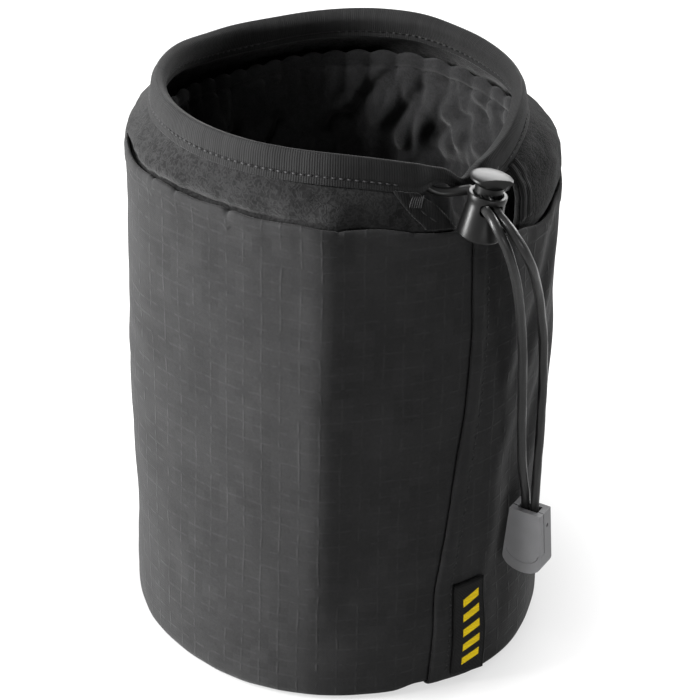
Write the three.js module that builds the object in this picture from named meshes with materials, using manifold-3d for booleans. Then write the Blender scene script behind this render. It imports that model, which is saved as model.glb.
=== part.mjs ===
// Lens pouch: a padded cloth cylinder whose fleece collar is drawn shut by an elastic cord, with a
// sprung cord lock and a moulded cord end. Millimetres, +Z up, origin on the pouch axis at the base.
// Angles are degrees about +Z from +X. The drawcord side faces between +X and -Y.
import * as THREE from 'three';
import { mergeVertices } from 'three/addons/utils/BufferGeometryUtils.js';
import Module from 'manifold-3d';

const wasm = await Module();
wasm.setup();

// Clearances
const LAYER_GAP = 0.3;
const RUNNING_GAP = 0.2;
const FLOOR_GAP = 0.2;

// Wall and floor
const BODY_RADIUS = 50;
const SHELL_HEIGHT = 126;
const SHELL_CLOTH = 1.0;
const EDGE_ROUND = 2.8;
const HEM_HEIGHT = 3.4;
const HEM_SWELL = 0.5;
const HEM_DIP = 11.5;
const HEM_DIP_ANGLE = -20;
const HEM_DIP_SPREAD = 38;
const SEAM_TOP_ANGLE = -53.5;
const SEAM_BOTTOM_ANGLE = -62.5;
const SEAM_OVERLAP = 10;
const SEAM_MARGIN = 2;
const SEAM_RAMP = 9;
const BASE_CLOTH = 1.2;
const BASE_FOAM = 5;
const WALL_FOAM = 5;
const FOAM_CHAMFER = 2.6;
const LINING_CLOTH = 1.2;
const LINING_DROP = 12;
const FOLD_COUNT = 12;
const FOLD_DEPTH = 2.8;
const FOLD_WANDER = 50;
const FOLD_START = 0.35;

// Collar and rim
const COLLAR_CLOTH = 1.5;
const COLLAR_TUCK = 13;
const COLLAR_KNEE_DROP = 3;
const COLLAR_PUFF = 0.5;
const COLLAR_DOME = 0.62;
const SLIT_LEFT_TOP_ANGLE = -71.5;
const SLIT_LEFT_BOTTOM_ANGLE = -56;
const SLIT_RIGHT_TOP_ANGLE = -34.5;
const SLIT_RIGHT_BOTTOM_ANGLE = -36;
const RIM_INSET = 8.3;
const RIM_SHIFT = 2.3;
const RIM_SHIFT_ANGLE = -135;
const RIM_TILT = 1.4;
const RIM_TILT_ANGLE = -105;
const RIM_PULL = 1.8;
const NECK_RISE = 15;
const RIM_DIP = 6;
const RIM_DIP_ANGLE = -48;
const RIM_DIP_SPREAD = 28;
const TAPE_CLOTH = 0.6;
const TAPE_WIDTH = 7;
const TAPE_BRIDGE = 3.4;
const TAPE_GRIP = 3;
const TAPE_LEAN = 15;
const TAPE_NARROWING = 6.5;
const FACING_CLOTH = 0.8;
const FACING_WIDTH = 4.2;
const FACING_RISE = 0.8;

// Label tab in the side seam
const TAG_WIDTH = 9;
const TAG_HEIGHT = 26;
const TAG_CLOTH = 0.9;
const TAG_SETBACK = 4.5;
const TAG_BASE = 2;
const TAG_LIFT = 0.8;

// Drawcord
const CORD_DIAMETER = 2.1;
const CORD_SIDES = 8;

// Cord lock
const LOCK_STANDOFF = 4.5;
const LOCK_ANGLE = -55.8;
const LOCK_DROP = 10.1;
const LOCK_FACING = -72;
const LOCK_LEAN = 10;
const BARREL_DEPTH = 7.6;
const BARREL_RISE = 2.6;
const BARREL_FLOOR = 0.9;
const BARREL_WALL = 0.8;
const BARREL_FOOT_RADIUS = 4.8;
const BARREL_FOOT_ROUND = 0.8;
const BARREL_LIP = 1.3;
const BARREL_LIP_FLARE = 0.4;
const STEM_RADIUS = 3.1;
const STEM_WEB = 0.9;
const HEAD_RADIUS = 4.7;
const HEAD_HEIGHT = 2.1;
const HEAD_DOME = 0.9;
const HEAD_EDGE = 0.3;
const HEAD_FLAT = 3.2;
const HEAD_TURN = 12;
const BUTTON_TRAVEL = 2.0;
const SPRING_WIRE = 0.45;
const SPRING_RADIUS = 2.3;
const SPRING_TURNS = 3.5;
const STRAND_OVERHANG = 0.8;

// Cord end, hung from the middle of the lock
const END_ASIDE = 14.5;
const END_BACK = 10.25;
const END_FALL = 84.6;
const END_FACING = -30;
const END_TOP_WIDTH = 8;
const END_FOOT_WIDTH = 10.2;
const END_SHOULDER = 13.5;
const END_DROP = 3.5;
const END_THICKNESS = 5.4;
const END_COVER = 1.7;
const END_STEP = 2.6;
const END_CHANNEL_DEPTH = 5.3;
const END_WINDOW_RADIUS = 0.5;
const END_WINDOW_DROP = 4;
const KNOT_WIDTH = 5;
const KNOT_DEPTH = 3;
const KNOT_HEIGHT = 3.4;

// Routes of the free cord, chosen by hand. The links run from the casing to the lock: distance out from
// the rim, angle, distance up from the rim. The tails run from the lock to the cord end: place from the
// middle of the lock.
const LINK_LEFT = [
  [0.7, -70, -5.5], [1.4, -66.8, -7.8], [2.0, -64.6, -9.6], [2.7, -62, -10.5], [3.9, -58.6, -10.6],
  [5.2, -56, -10.2],
];
const LINK_RIGHT = [
  [-0.3, -34, -7.5], [0.3, -36.8, -8.5], [1.3, -40.2, -10.6], [2.4, -43, -11.6], [4.1, -46.5, -11.7],
  [5.6, -49.7, -11.1],
];
const TAIL_LEFT = [
  [0.85, -6.35, 0.15], [1.4, -7.65, -0.25], [2.15, -8.9, -1.2], [3.1, -9.8, -2.75], [4.05, -9.95, -4.6],
  [5.0, -9.5, -7.3], [5.9, -8.4, -10.5], [6.9, -6.5, -14.8], [7.8, -4.2, -20], [8.6, -1.9, -25.9],
  [9.4, 0.2, -32.7], [10.0, 1.9, -39.9], [10.4, 3.4, -47.4], [10.8, 4.8, -55.4], [11.2, 6.2, -63.4],
  [11.8, 7.7, -70.9], [12.6, 9.2, -76.9], [13.3, 10.4, -81.4],
];
const TAIL_RIGHT = [
  [3.2, -5.85, -0.3], [4.0, -7.25, -0.7], [5.2, -8.65, -1.7], [6.55, -9.55, -3.4], [7.85, -9.65, -5.5],
  [9.0, -8.8, -8.1], [10.1, -7.1, -11.3], [11.1, -4.7, -15.3], [12.2, -1.9, -20.5], [13.2, 0.5, -26.5],
  [14.1, 2.5, -33.1], [14.7, 4.0, -40.3], [15.1, 5.3, -47.9], [15.3, 6.4, -55.9], [15.4, 7.4, -63.9],
  [15.4, 8.2, -71.1], [15.4, 8.9, -77.1], [15.5, 9.4, -81.4],
];

// Facets
const BODY_FACETS = 64;
const LINING_FACETS = 72;
const COLLAR_FACETS = 56;
const LOCK_FACETS = 32;
const LOOP_STEP_ANGLE = 10;
const LOOP_STEPS = 56;
const TAIL_STEPS = 36;

// Sizes that follow from the ones above
const CORD_RADIUS = CORD_DIAMETER / 2;
const STRAND_OFFSET = (CORD_DIAMETER + LAYER_GAP) / 2;
const FOAM_RADIUS = BODY_RADIUS - SHELL_CLOTH - LAYER_GAP;
const BASE_TOP = BASE_CLOTH + LAYER_GAP;
const LINING_RADIUS = FOAM_RADIUS - WALL_FOAM - LAYER_GAP;
const LINING_BASE = BASE_TOP + BASE_FOAM + LAYER_GAP;
const COLLAR_RADIUS = FOAM_RADIUS - COLLAR_CLOTH / 2;
const COLLAR_BASE = SHELL_HEIGHT - COLLAR_TUCK;
const FOAM_TOP = COLLAR_BASE - LAYER_GAP;
const RIM_RADIUS = BODY_RADIUS - RIM_INSET;
const RIM_HEIGHT = SHELL_HEIGHT + NECK_RISE;
const LOCK_REACH = BODY_RADIUS + LOCK_STANDOFF;
const LOCK_HEIGHT = RIM_HEIGHT - LOCK_DROP;
const TAPE_SPREAD = CORD_DIAMETER + 2 * LAYER_GAP + 2 * TAPE_CLOTH;
const BORE_RADIUS = STEM_RADIUS + RUNNING_GAP;
const BARREL_RADIUS = BORE_RADIUS + BARREL_WALL;
const SLOT_HALF_WIDTH = STRAND_OFFSET + CORD_RADIUS + LAYER_GAP;
const SLOT_HALF_HEIGHT = CORD_RADIUS + LAYER_GAP;
const HEAD_BASE = BARREL_RISE + BUTTON_TRAVEL + RUNNING_GAP;
const END_HALF_THICKNESS = END_THICKNESS / 2;

const { lerp, smoothstep, degToRad, radToDeg } = THREE.MathUtils;
const X_AXIS = new THREE.Vector3(1, 0, 0);
const Y_AXIS = new THREE.Vector3(0, 1, 0);
const Z_AXIS = new THREE.Vector3(0, 0, 1);

function polar(radius, angle, height) {
  const turn = degToRad(angle);
  return new THREE.Vector3(radius * Math.cos(turn), radius * Math.sin(turn), height);
}

function angleBetween(angle, reference) {
  return THREE.MathUtils.euclideanModulo(angle - reference + 180, 360) - 180;
}

// Bell curve around one direction of the pouch
function nearness(angle, centre, spread) {
  return Math.exp(-((angleBetween(angle, centre) / spread) ** 2));
}

function hemTop(angle) {
  return SHELL_HEIGHT - HEM_DIP * nearness(angle, HEM_DIP_ANGLE, HEM_DIP_SPREAD);
}

// How strongly the drawcord pulls on the rim, at its full strength beside the lock
function cordPull(angle) {
  return nearness(angle, RIM_DIP_ANGLE, RIM_DIP_SPREAD);
}

// The soft rim leans to one side, and the cord draws it outwards and down beside the lock
function rimRadius(angle) {
  return RIM_RADIUS + RIM_SHIFT * Math.cos(degToRad(angle - RIM_SHIFT_ANGLE)) + RIM_PULL * cordPull(angle);
}

function rimTop(angle) {
  const tilt = RIM_TILT * (1 - Math.cos(degToRad(angle - RIM_TILT_ANGLE)));
  return RIM_HEIGHT - tilt - RIM_DIP * cordPull(angle);
}

// Mesh building

function indexedGeometry(positions, indices) {
  const geometry = new THREE.BufferGeometry();
  geometry.setAttribute('position', new THREE.Float32BufferAttribute(positions, 3));
  geometry.setIndex(indices);
  geometry.computeVertexNormals();
  return geometry;
}

// Shared corners, and no triangle with two equal corners
function weld(geometry) {
  geometry.deleteAttribute('normal');
  geometry.deleteAttribute('uv');
  const merged = mergeVertices(geometry);
  const corners = Array.from(merged.index.array);
  const kept = [];
  for (let k = 0; k < corners.length; k += 3) {
    const triangle = corners.slice(k, k + 3);
    if (new Set(triangle).size === 3) {
      kept.push(...triangle);
    }
  }
  return indexedGeometry(Array.from(merged.attributes.position.array), kept);
}

// Closed solid between two skins given by (share round the pouch, row from the bottom)
function sheetSolid(columns, rows, isRing, outerSkin, innerSkin) {
  const stations = isRing ? columns : columns + 1;
  const positions = [];
  for (const skin of [outerSkin, innerSkin]) {
    for (let i = 0; i < stations; i += 1) {
      for (let j = 0; j < rows; j += 1) {
        positions.push(...skin(i / columns, j).toArray());
      }
    }
  }
  const corner = (side, i, j) => (side * stations + (i % stations)) * rows + j;
  const indices = [];
  const quad = (a, b, c, d) => indices.push(a, b, c, a, c, d);
  const top = rows - 1;
  for (let i = 0; i < columns; i += 1) {
    for (let j = 0; j < top; j += 1) {
      quad(corner(0, i, j), corner(0, i + 1, j), corner(0, i + 1, j + 1), corner(0, i, j + 1));
      quad(corner(1, i, j), corner(1, i, j + 1), corner(1, i + 1, j + 1), corner(1, i + 1, j));
    }
    quad(corner(1, i, 0), corner(1, i + 1, 0), corner(0, i + 1, 0), corner(0, i, 0));
    quad(corner(0, i, top), corner(0, i + 1, top), corner(1, i + 1, top), corner(1, i, top));
  }
  for (let j = 0; j < top && !isRing; j += 1) {
    quad(corner(0, 0, j), corner(0, 0, j + 1), corner(1, 0, j + 1), corner(1, 0, j));
    quad(corner(1, columns, j), corner(1, columns, j + 1), corner(0, columns, j + 1), corner(0, columns, j));
  }
  return indexedGeometry(positions, indices);
}

// Closed solid swept round the pouch from a closed section given at each angle
function hoopSolid(columns, sectionAt) {
  const sections = [];
  for (let i = 0; i < columns; i += 1) {
    sections.push(sectionAt((360 * i) / columns));
  }
  const count = sections[0].length;
  const corner = (i, k) => (i % columns) * count + (k % count);
  const indices = [];
  for (let i = 0; i < columns; i += 1) {
    for (let k = 0; k < count; k += 1) {
      indices.push(corner(i, k), corner(i + 1, k), corner(i + 1, k + 1));
      indices.push(corner(i, k), corner(i + 1, k + 1), corner(i, k + 1));
    }
  }
  return indexedGeometry(sections.flat().flatMap((point) => point.toArray()), indices);
}

// Quarter of an ellipse about a centre, as (radius, height) pairs for a turned profile
function arcProfile([centreRadius, centreHeight], halfWidth, halfHeight, startAngle) {
  const steps = 4;
  const pairs = [];
  for (let k = 0; k <= steps; k += 1) {
    const turn = degToRad(startAngle + (90 * k) / steps);
    pairs.push([centreRadius + halfWidth * Math.cos(turn), centreHeight + halfHeight * Math.sin(turn)]);
  }
  return pairs;
}

// Solid of revolution about Z from (radius, height) pairs
function turned(profile, facets) {
  const points = profile.map(([radius, height]) => new THREE.Vector2(radius, height));
  return weld(new THREE.LatheGeometry(points, facets).rotateX(Math.PI / 2));
}

function disc(radius, base, thickness) {
  return turned([[0, base], [radius, base], [radius, base + thickness], [0, base + thickness]], BODY_FACETS);
}

function roundSection(radius, sides) {
  const points = [];
  for (let k = 0; k < sides; k += 1) {
    const turn = (2 * Math.PI * k) / sides;
    points.push(new THREE.Vector2(radius * Math.cos(turn), radius * Math.sin(turn)));
  }
  return new THREE.Shape(points);
}

function tube(curve, diameter, sides, steps) {
  const section = roundSection(diameter / 2, sides);
  return weld(new THREE.ExtrudeGeometry(section, { steps, bevelEnabled: false, extrudePath: curve }));
}

function cordAlong(points, steps) {
  return tube(new THREE.CatmullRomCurve3(points), CORD_DIAMETER, CORD_SIDES, steps);
}

// Plate of the given outline, its thickness along +Y from the given place, its outline upright in X and Z
function uprightPlate(outline, front, thickness) {
  const options = { depth: thickness, bevelEnabled: false, curveSegments: 10 };
  const plate = new THREE.ExtrudeGeometry(outline, options);
  return weld(plate.rotateX(Math.PI / 2).translate(0, front + thickness, 0));
}

function toManifold(geometry) {
  const welded = weld(geometry.clone());
  const vertProperties = new Float32Array(welded.attributes.position.array);
  const triVerts = new Uint32Array(welded.index.array);
  return new wasm.Manifold(new wasm.Mesh({ numProp: 3, vertProperties, triVerts }));
}

function fromManifold(body) {
  const cut = body.getMesh();
  return indexedGeometry(Array.from(cut.vertProperties), Array.from(cut.triVerts));
}

function cutAway(geometry, ...cutters) {
  const body = cutters.reduce((rest, cutter) => rest.subtract(toManifold(cutter)), toManifold(geometry));
  return fromManifold(body);
}

// Wall, floor and their layers

function seamAngle(height) {
  return lerp(SEAM_BOTTOM_ANGLE, SEAM_TOP_ANGLE, height / SHELL_HEIGHT);
}

// The sheet starts on top of the lap, steps down to the body, goes once round and ends under the lap
function lapLift(travel) {
  const lapEnd = SEAM_OVERLAP + SEAM_MARGIN;
  return (SHELL_CLOTH + LAYER_GAP) * (1 - smoothstep(travel, lapEnd, lapEnd + SEAM_RAMP));
}

function shellPanel() {
  const girth = 2 * Math.PI * BODY_RADIUS;
  const roundInset = EDGE_ROUND * (1 - Math.SQRT1_2);
  const clothRise = SHELL_CLOTH * Math.SQRT1_2;
  const rows = [
    { outer: [EDGE_ROUND, 0], inner: [EDGE_ROUND, SHELL_CLOTH] },
    { outer: [roundInset, roundInset], inner: [roundInset + clothRise, roundInset + clothRise] },
    { outer: [0, EDGE_ROUND], inner: [SHELL_CLOTH, EDGE_ROUND] },
    { share: 1 / 3 },
    { share: 2 / 3 },
    { drop: HEM_HEIGHT },
    { drop: HEM_HEIGHT * 0.7, swell: HEM_SWELL },
    { drop: HEM_HEIGHT * 0.3, swell: HEM_SWELL },
    { drop: 0 },
  ];
  const skin = (side) => (along, j) => {
    const row = rows[j];
    const travel = along * (girth + SEAM_OVERLAP);
    const [inset, rise] = row[side] ?? [side === 'inner' ? SHELL_CLOTH : 0, 0];
    const nominal = row.outer ? rise : SHELL_HEIGHT * (row.share ?? 1);
    const angle = seamAngle(nominal) + radToDeg(travel / BODY_RADIUS);
    const top = hemTop(angle);
    const height = row.outer ? FLOOR_GAP + rise : (row.share ?? 1) * top - (row.drop ?? 0);
    const underLap = smoothstep(travel, girth - SEAM_RAMP, girth - SEAM_MARGIN);
    const swell = side === 'outer' ? (row.swell ?? 0) * (1 - underLap) : 0;
    return polar(BODY_RADIUS + lapLift(travel) + swell - inset, angle, height);
  };
  return sheetSolid(BODY_FACETS, rows.length, false, skin('outer'), skin('inner'));
}

function wallPadding() {
  const inner = FOAM_RADIUS - WALL_FOAM;
  return turned([
    [inner, BASE_TOP],
    [FOAM_RADIUS - FOAM_CHAMFER, BASE_TOP],
    [FOAM_RADIUS, BASE_TOP + FOAM_CHAMFER],
    [FOAM_RADIUS, FOAM_TOP],
    [inner, FOAM_TOP],
    [inner, BASE_TOP],
  ], BODY_FACETS);
}

// Gathered cloth: plain below, drawn into folds towards its top edge
function wallLining() {
  const shares = [0, 0.3, 0.55, 0.75, 0.9, 1];
  const skin = (thickness) => (along, j) => {
    const angle = 360 * along;
    const gather = smoothstep(shares[j], FOLD_START, 1);
    const wander = FOLD_WANDER * Math.sin(degToRad(3 * angle));
    const wave = (1 - Math.cos(degToRad(FOLD_COUNT * angle + wander))) / 2;
    const height = lerp(LINING_BASE, rimTop(angle) - LINING_DROP, shares[j]);
    return polar(LINING_RADIUS - thickness - FOLD_DEPTH * gather * wave, angle, height);
  };
  return sheetSolid(LINING_FACETS, shares.length, true, skin(0), skin(LINING_CLOTH));
}

// Shares of the collar's height at which its dome starts and its edge enters the tape
const DOME_FROM = 0.2;
const GRIP_FROM = 0.85;

// Edges of the slit by the share of the collar's height

function slitLeft(share) {
  return lerp(SLIT_LEFT_BOTTOM_ANGLE, SLIT_LEFT_TOP_ANGLE, share);
}

function slitRight(share) {
  return lerp(SLIT_RIGHT_BOTTOM_ANGLE, SLIT_RIGHT_TOP_ANGLE, share);
}

// Rim tape, folded over the collar's edge with the drawcord in its fold

function tapeHeight(angle) {
  const fromLeft = smoothstep(angleBetween(angle, slitLeft(GRIP_FROM)) / TAPE_NARROWING, 0, 1);
  const fromRight = smoothstep(-angleBetween(angle, slitRight(GRIP_FROM)) / TAPE_NARROWING, 0, 1);
  return lerp(TAPE_WIDTH, TAPE_BRIDGE, Math.min(fromLeft, fromRight));
}

// (radius, height) of a place on the tape, by its distance across the fold and up from the lower edge
function tapePlace(angle, across, up) {
  const lean = degToRad(TAPE_LEAN);
  const base = rimTop(angle) - tapeHeight(angle) * Math.cos(lean);
  const radius = rimRadius(angle) + across * Math.cos(lean) - up * Math.sin(lean);
  return new THREE.Vector2(radius, base + across * Math.sin(lean) + up * Math.cos(lean));
}

function tapePoint(angle, across, up) {
  const place = tapePlace(angle, across, up);
  return polar(place.x, angle, place.y);
}

function rimBinding() {
  const half = TAPE_SPREAD / 2;
  const foldSteps = 4;
  return hoopSolid(COLLAR_FACETS, (angle) => {
    const bend = tapeHeight(angle) - half;
    const arch = (radius) => {
      const points = [tapePoint(angle, radius, 0)];
      for (let k = 0; k <= foldSteps; k += 1) {
        const turn = (Math.PI * k) / foldSteps;
        points.push(tapePoint(angle, radius * Math.cos(turn), bend + radius * Math.sin(turn)));
      }
      points.push(tapePoint(angle, -radius, 0));
      return points;
    };
    return [...arch(half), ...arch(half - TAPE_CLOTH).reverse()];
  });
}

// Collar: upright inside the hem, then domed in to the tape and up into its fold

// Middle line of the cloth at one angle, as (radius, height)
function collarLine(angle, share) {
  const knee = new THREE.Vector2(COLLAR_RADIUS, SHELL_HEIGHT - COLLAR_KNEE_DROP);
  const seat = tapePlace(angle, 0, 0);
  if (share <= DOME_FROM) {
    return new THREE.Vector2(COLLAR_RADIUS, lerp(COLLAR_BASE, knee.y, share / DOME_FROM));
  }
  if (share <= GRIP_FROM) {
    const pull = new THREE.Vector2(COLLAR_RADIUS + COLLAR_PUFF, lerp(knee.y, seat.y, COLLAR_DOME));
    const dome = new THREE.QuadraticBezierCurve(knee, pull, seat);
    return dome.getPoint((share - DOME_FROM) / (GRIP_FROM - DOME_FROM));
  }
  return tapePlace(angle, 0, (TAPE_GRIP * (share - GRIP_FROM)) / (1 - GRIP_FROM));
}

function collarPoint(angle, share, offset) {
  const reach = 0.01;
  const below = collarLine(angle, Math.max(share - reach, 0));
  const along = collarLine(angle, Math.min(share + reach, 1)).sub(below).normalize();
  const here = collarLine(angle, share);
  return polar(here.x + along.y * offset, angle, here.y - along.x * offset);
}

function collarBand() {
  const shares = [0, DOME_FROM, 0.4, 0.6, 0.75, GRIP_FROM, 1];
  const skin = (offset) => (along, j) => {
    const angle = lerp(slitRight(shares[j]), slitLeft(shares[j]) + 360, along);
    return collarPoint(angle, shares[j], offset);
  };
  return sheetSolid(COLLAR_FACETS, shares.length, false, skin(COLLAR_CLOTH / 2), skin(-COLLAR_CLOTH / 2));
}

// Share of the collar line at which it has climbed to the given height
function collarShareAt(angle, height) {
  let low = 0;
  let high = GRIP_FROM;
  for (let k = 0; k < 30; k += 1) {
    const middle = (low + high) / 2;
    if (collarLine(angle, middle).y < height) {
      low = middle;
    } else {
      high = middle;
    }
  }
  return low;
}

// Bound edge of the slit, laid on the collar from the hem to the tape
function slitFacing(edgeAt, side) {
  const columns = 3;
  const rows = 6;
  const width = radToDeg(FACING_WIDTH / COLLAR_RADIUS);
  const base = COLLAR_CLOTH / 2 + LAYER_GAP;
  const skin = (offset) => (along, j) => {
    const inward = side > 0 ? along * width : (along - 1) * width;
    const rough = edgeAt(0.5) + inward;
    const lowest = collarShareAt(rough, hemTop(rough) + FACING_RISE);
    const clearOfTape = tapePlace(rough, 0, 0).y - base - 2 * FACING_CLOTH;
    const share = lerp(lowest, collarShareAt(rough, clearOfTape), j / (rows - 1));
    return collarPoint(edgeAt(share) + inward, share, offset);
  };
  return sheetSolid(columns, rows, false, skin(base + FACING_CLOTH), skin(base));
}

// Label tab: a folded strip whose free edge lifts off the lap
function labelTag() {
  const columns = 6;
  const rows = 4;
  const skin = (thickness) => (along, j) => {
    const height = TAG_BASE + (TAG_HEIGHT * j) / (rows - 1);
    const angle = seamAngle(height) + radToDeg((TAG_SETBACK + TAG_WIDTH * along) / BODY_RADIUS);
    const lap = BODY_RADIUS + SHELL_CLOTH + 2 * LAYER_GAP;
    return polar(lap + TAG_LIFT * along ** 2 + thickness, angle, height);
  };
  return sheetSolid(columns, rows, false, skin(TAG_CLOTH), skin(0));
}

// Cord lock, in its own frame: Z along the plunger, X out of the cross hole

function crossSlot(low, high) {
  const corner = SLOT_HALF_HEIGHT * 0.6;
  const reach = 2 * BARREL_FOOT_RADIUS;
  const outline = new THREE.Shape();
  outline.moveTo(-SLOT_HALF_WIDTH + corner, low);
  outline.lineTo(SLOT_HALF_WIDTH - corner, low);
  outline.quadraticCurveTo(SLOT_HALF_WIDTH, low, SLOT_HALF_WIDTH, low + corner);
  outline.lineTo(SLOT_HALF_WIDTH, high - corner);
  outline.quadraticCurveTo(SLOT_HALF_WIDTH, high, SLOT_HALF_WIDTH - corner, high);
  outline.lineTo(-SLOT_HALF_WIDTH + corner, high);
  outline.quadraticCurveTo(-SLOT_HALF_WIDTH, high, -SLOT_HALF_WIDTH, high - corner);
  outline.lineTo(-SLOT_HALF_WIDTH, low + corner);
  outline.quadraticCurveTo(-SLOT_HALF_WIDTH, low, -SLOT_HALF_WIDTH + corner, low);
  const options = { depth: 2 * reach, bevelEnabled: false, curveSegments: 4 };
  const slot = new THREE.ExtrudeGeometry(outline, options);
  slot.translate(0, 0, -reach);
  return slot.applyMatrix4(new THREE.Matrix4().makeBasis(Y_AXIS, Z_AXIS, X_AXIS));
}

function lockBarrel() {
  const foot = -BARREL_DEPTH;
  const footRound = [BARREL_FOOT_RADIUS - BARREL_FOOT_ROUND, foot + BARREL_FOOT_ROUND];
  const bell = turned([
    [0, foot],
    ...arcProfile(footRound, BARREL_FOOT_ROUND, BARREL_FOOT_ROUND, -90),
    [BARREL_RADIUS, 0],
    [BARREL_RADIUS, BARREL_RISE - BARREL_LIP],
    [BARREL_RADIUS + BARREL_LIP_FLARE, BARREL_RISE - BARREL_LIP / 2],
    [BARREL_RADIUS + BARREL_LIP_FLARE, BARREL_RISE],
    [BORE_RADIUS, BARREL_RISE],
    [BORE_RADIUS, foot + BARREL_FLOOR],
    [0, foot + BARREL_FLOOR],
  ], LOCK_FACETS);
  return cutAway(bell, crossSlot(-SLOT_HALF_HEIGHT, SLOT_HALF_HEIGHT));
}

// Plunger: domed head with a flat over the cord exit, and a stem whose slot clears the cord when pressed
function lockButton() {
  const tip = -SLOT_HALF_HEIGHT - STEM_WEB;
  const plunger = turned([
    [0, tip],
    [STEM_RADIUS, tip],
    [STEM_RADIUS, HEAD_BASE],
    [HEAD_RADIUS - HEAD_EDGE, HEAD_BASE],
    [HEAD_RADIUS, HEAD_BASE + HEAD_EDGE],
    ...arcProfile([0, HEAD_BASE + HEAD_HEIGHT - HEAD_DOME], HEAD_RADIUS, HEAD_DOME, 0),
  ], LOCK_FACETS);
  const flat = new THREE.BoxGeometry(HEAD_RADIUS, 2 * HEAD_RADIUS, 2 * HEAD_HEIGHT);
  flat.translate(HEAD_FLAT + HEAD_RADIUS / 2, 0, HEAD_BASE + HEAD_HEIGHT).rotateZ(degToRad(HEAD_TURN));
  return cutAway(plunger, crossSlot(-SLOT_HALF_HEIGHT, SLOT_HALF_HEIGHT + BUTTON_TRAVEL), flat);
}

class Helix extends THREE.Curve {
  constructor(radius, base, length, turns) {
    super();
    this.radius = radius;
    this.base = base;
    this.length = length;
    this.turns = turns;
  }

  getPoint(share, target = new THREE.Vector3()) {
    const turn = 2 * Math.PI * this.turns * share;
    const height = this.base + this.length * share;
    return target.set(this.radius * Math.cos(turn), this.radius * Math.sin(turn), height);
  }
}

// Least clear distance between neighbouring curls, from points along the wire
function leastGap(helix, wire) {
  const stepsPerTurn = 8;
  const steps = Math.round(helix.turns * stepsPerTurn);
  const points = helix.getPoints(steps);
  let least = Infinity;
  for (let i = 0; i <= steps; i += 1) {
    for (let k = i + stepsPerTurn / 2; k <= steps; k += 1) {
      least = Math.min(least, points[i].distanceTo(points[k]) - wire);
    }
  }
  return least;
}

function lockSpring() {
  const base = -BARREL_DEPTH + BARREL_FLOOR + LAYER_GAP + SPRING_WIRE / 2;
  const top = -SLOT_HALF_HEIGHT - STEM_WEB - LAYER_GAP - SPRING_WIRE / 2;
  const helix = new Helix(SPRING_RADIUS, base, top - base, SPRING_TURNS);
  console.log(`lock_spring: least gap between curls ${leastGap(helix, SPRING_WIRE).toFixed(2)} mm`);
  return tube(helix, SPRING_WIRE, 5, Math.round(SPRING_TURNS * 8));
}

const STRAND_FRONT = BARREL_RADIUS + BARREL_LIP_FLARE + STRAND_OVERHANG;

// One strand of the drawcord lying straight through the lock
function gripStrand(side) {
  const start = new THREE.Vector3(-STRAND_FRONT, side * STRAND_OFFSET, 0);
  const end = new THREE.Vector3(STRAND_FRONT, side * STRAND_OFFSET, 0);
  return tube(new THREE.LineCurve3(start, end), CORD_DIAMETER, CORD_SIDES, 2);
}

// Drawcord round the casing, from the left side of the lock to its right side by way of the back
function drawcordLoop(lock) {
  const fold = (angle) => tapePoint(angle, 0, tapeHeight(angle) - TAPE_SPREAD / 2);
  const lockEnd = (side, back) => {
    const place = new THREE.Vector3(-STRAND_FRONT - LAYER_GAP - back, side * STRAND_OFFSET, 0);
    return lock.localToWorld(place);
  };
  const route = [lockEnd(-1, 0), lockEnd(-1, CORD_RADIUS)];
  const linkPoint = ([out, angle, up]) => polar(RIM_RADIUS + out, angle, RIM_HEIGHT + up);
  route.push(...LINK_LEFT.map(linkPoint).reverse());
  const first = SLIT_LEFT_TOP_ANGLE - LOOP_STEP_ANGLE / 2;
  const last = SLIT_RIGHT_TOP_ANGLE + LOOP_STEP_ANGLE / 2 - 360;
  const count = Math.round((first - last) / LOOP_STEP_ANGLE);
  for (let k = 0; k <= count; k += 1) {
    route.push(fold(lerp(first, last, k / count)));
  }
  route.push(...LINK_RIGHT.map(linkPoint));
  route.push(lockEnd(1, CORD_RADIUS), lockEnd(1, 0));
  return cordAlong(route, LOOP_STEPS);
}

// Cord end, in its own frame: origin at the middle of its open top, Y from the cover to the back

function endHalfWidth(depth) {
  return lerp(END_TOP_WIDTH, END_FOOT_WIDTH, depth / END_SHOULDER) / 2;
}

// Wedge with a rounded foot; a side reach widens the upright part into a cutter
function wedgeOutline(shoulder, drop, sideReach, topReach) {
  const half = endHalfWidth(shoulder);
  const outline = new THREE.Shape();
  outline.moveTo(-endHalfWidth(0) - sideReach, topReach);
  outline.lineTo(endHalfWidth(0) + sideReach, topReach);
  outline.lineTo(half + sideReach, -shoulder);
  outline.lineTo(half, -shoulder);
  outline.absellipse(0, -shoulder, half, drop, 0, -Math.PI, true);
  outline.lineTo(-half - sideReach, -shoulder);
  return outline;
}

// Squat ball in the cord end, grown by a clearance where it is the room for the knot
function knotBall(clearance) {
  const ball = new THREE.SphereGeometry(1, 14, 10);
  ball.scale(KNOT_WIDTH / 2 + clearance, KNOT_DEPTH / 2 + clearance, KNOT_HEIGHT / 2 + clearance);
  return weld(ball.translate(0, 0, -END_CHANNEL_DEPTH - LAYER_GAP - KNOT_HEIGHT / 2));
}

function cordChannel() {
  const height = 2 * END_CHANNEL_DEPTH + KNOT_HEIGHT;
  return new THREE.BoxGeometry(2 * SLOT_HALF_WIDTH, 2 * SLOT_HALF_HEIGHT, height);
}

function coverDrop() {
  return END_DROP - LAYER_GAP;
}

function cordEndFront() {
  const shoulder = END_SHOULDER - END_STEP;
  const plate = uprightPlate(wedgeOutline(shoulder, coverDrop(), 0, 0), -END_HALF_THICKNESS, END_COVER);
  return cutAway(plate, cordChannel(), knotBall(LAYER_GAP));
}

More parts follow.
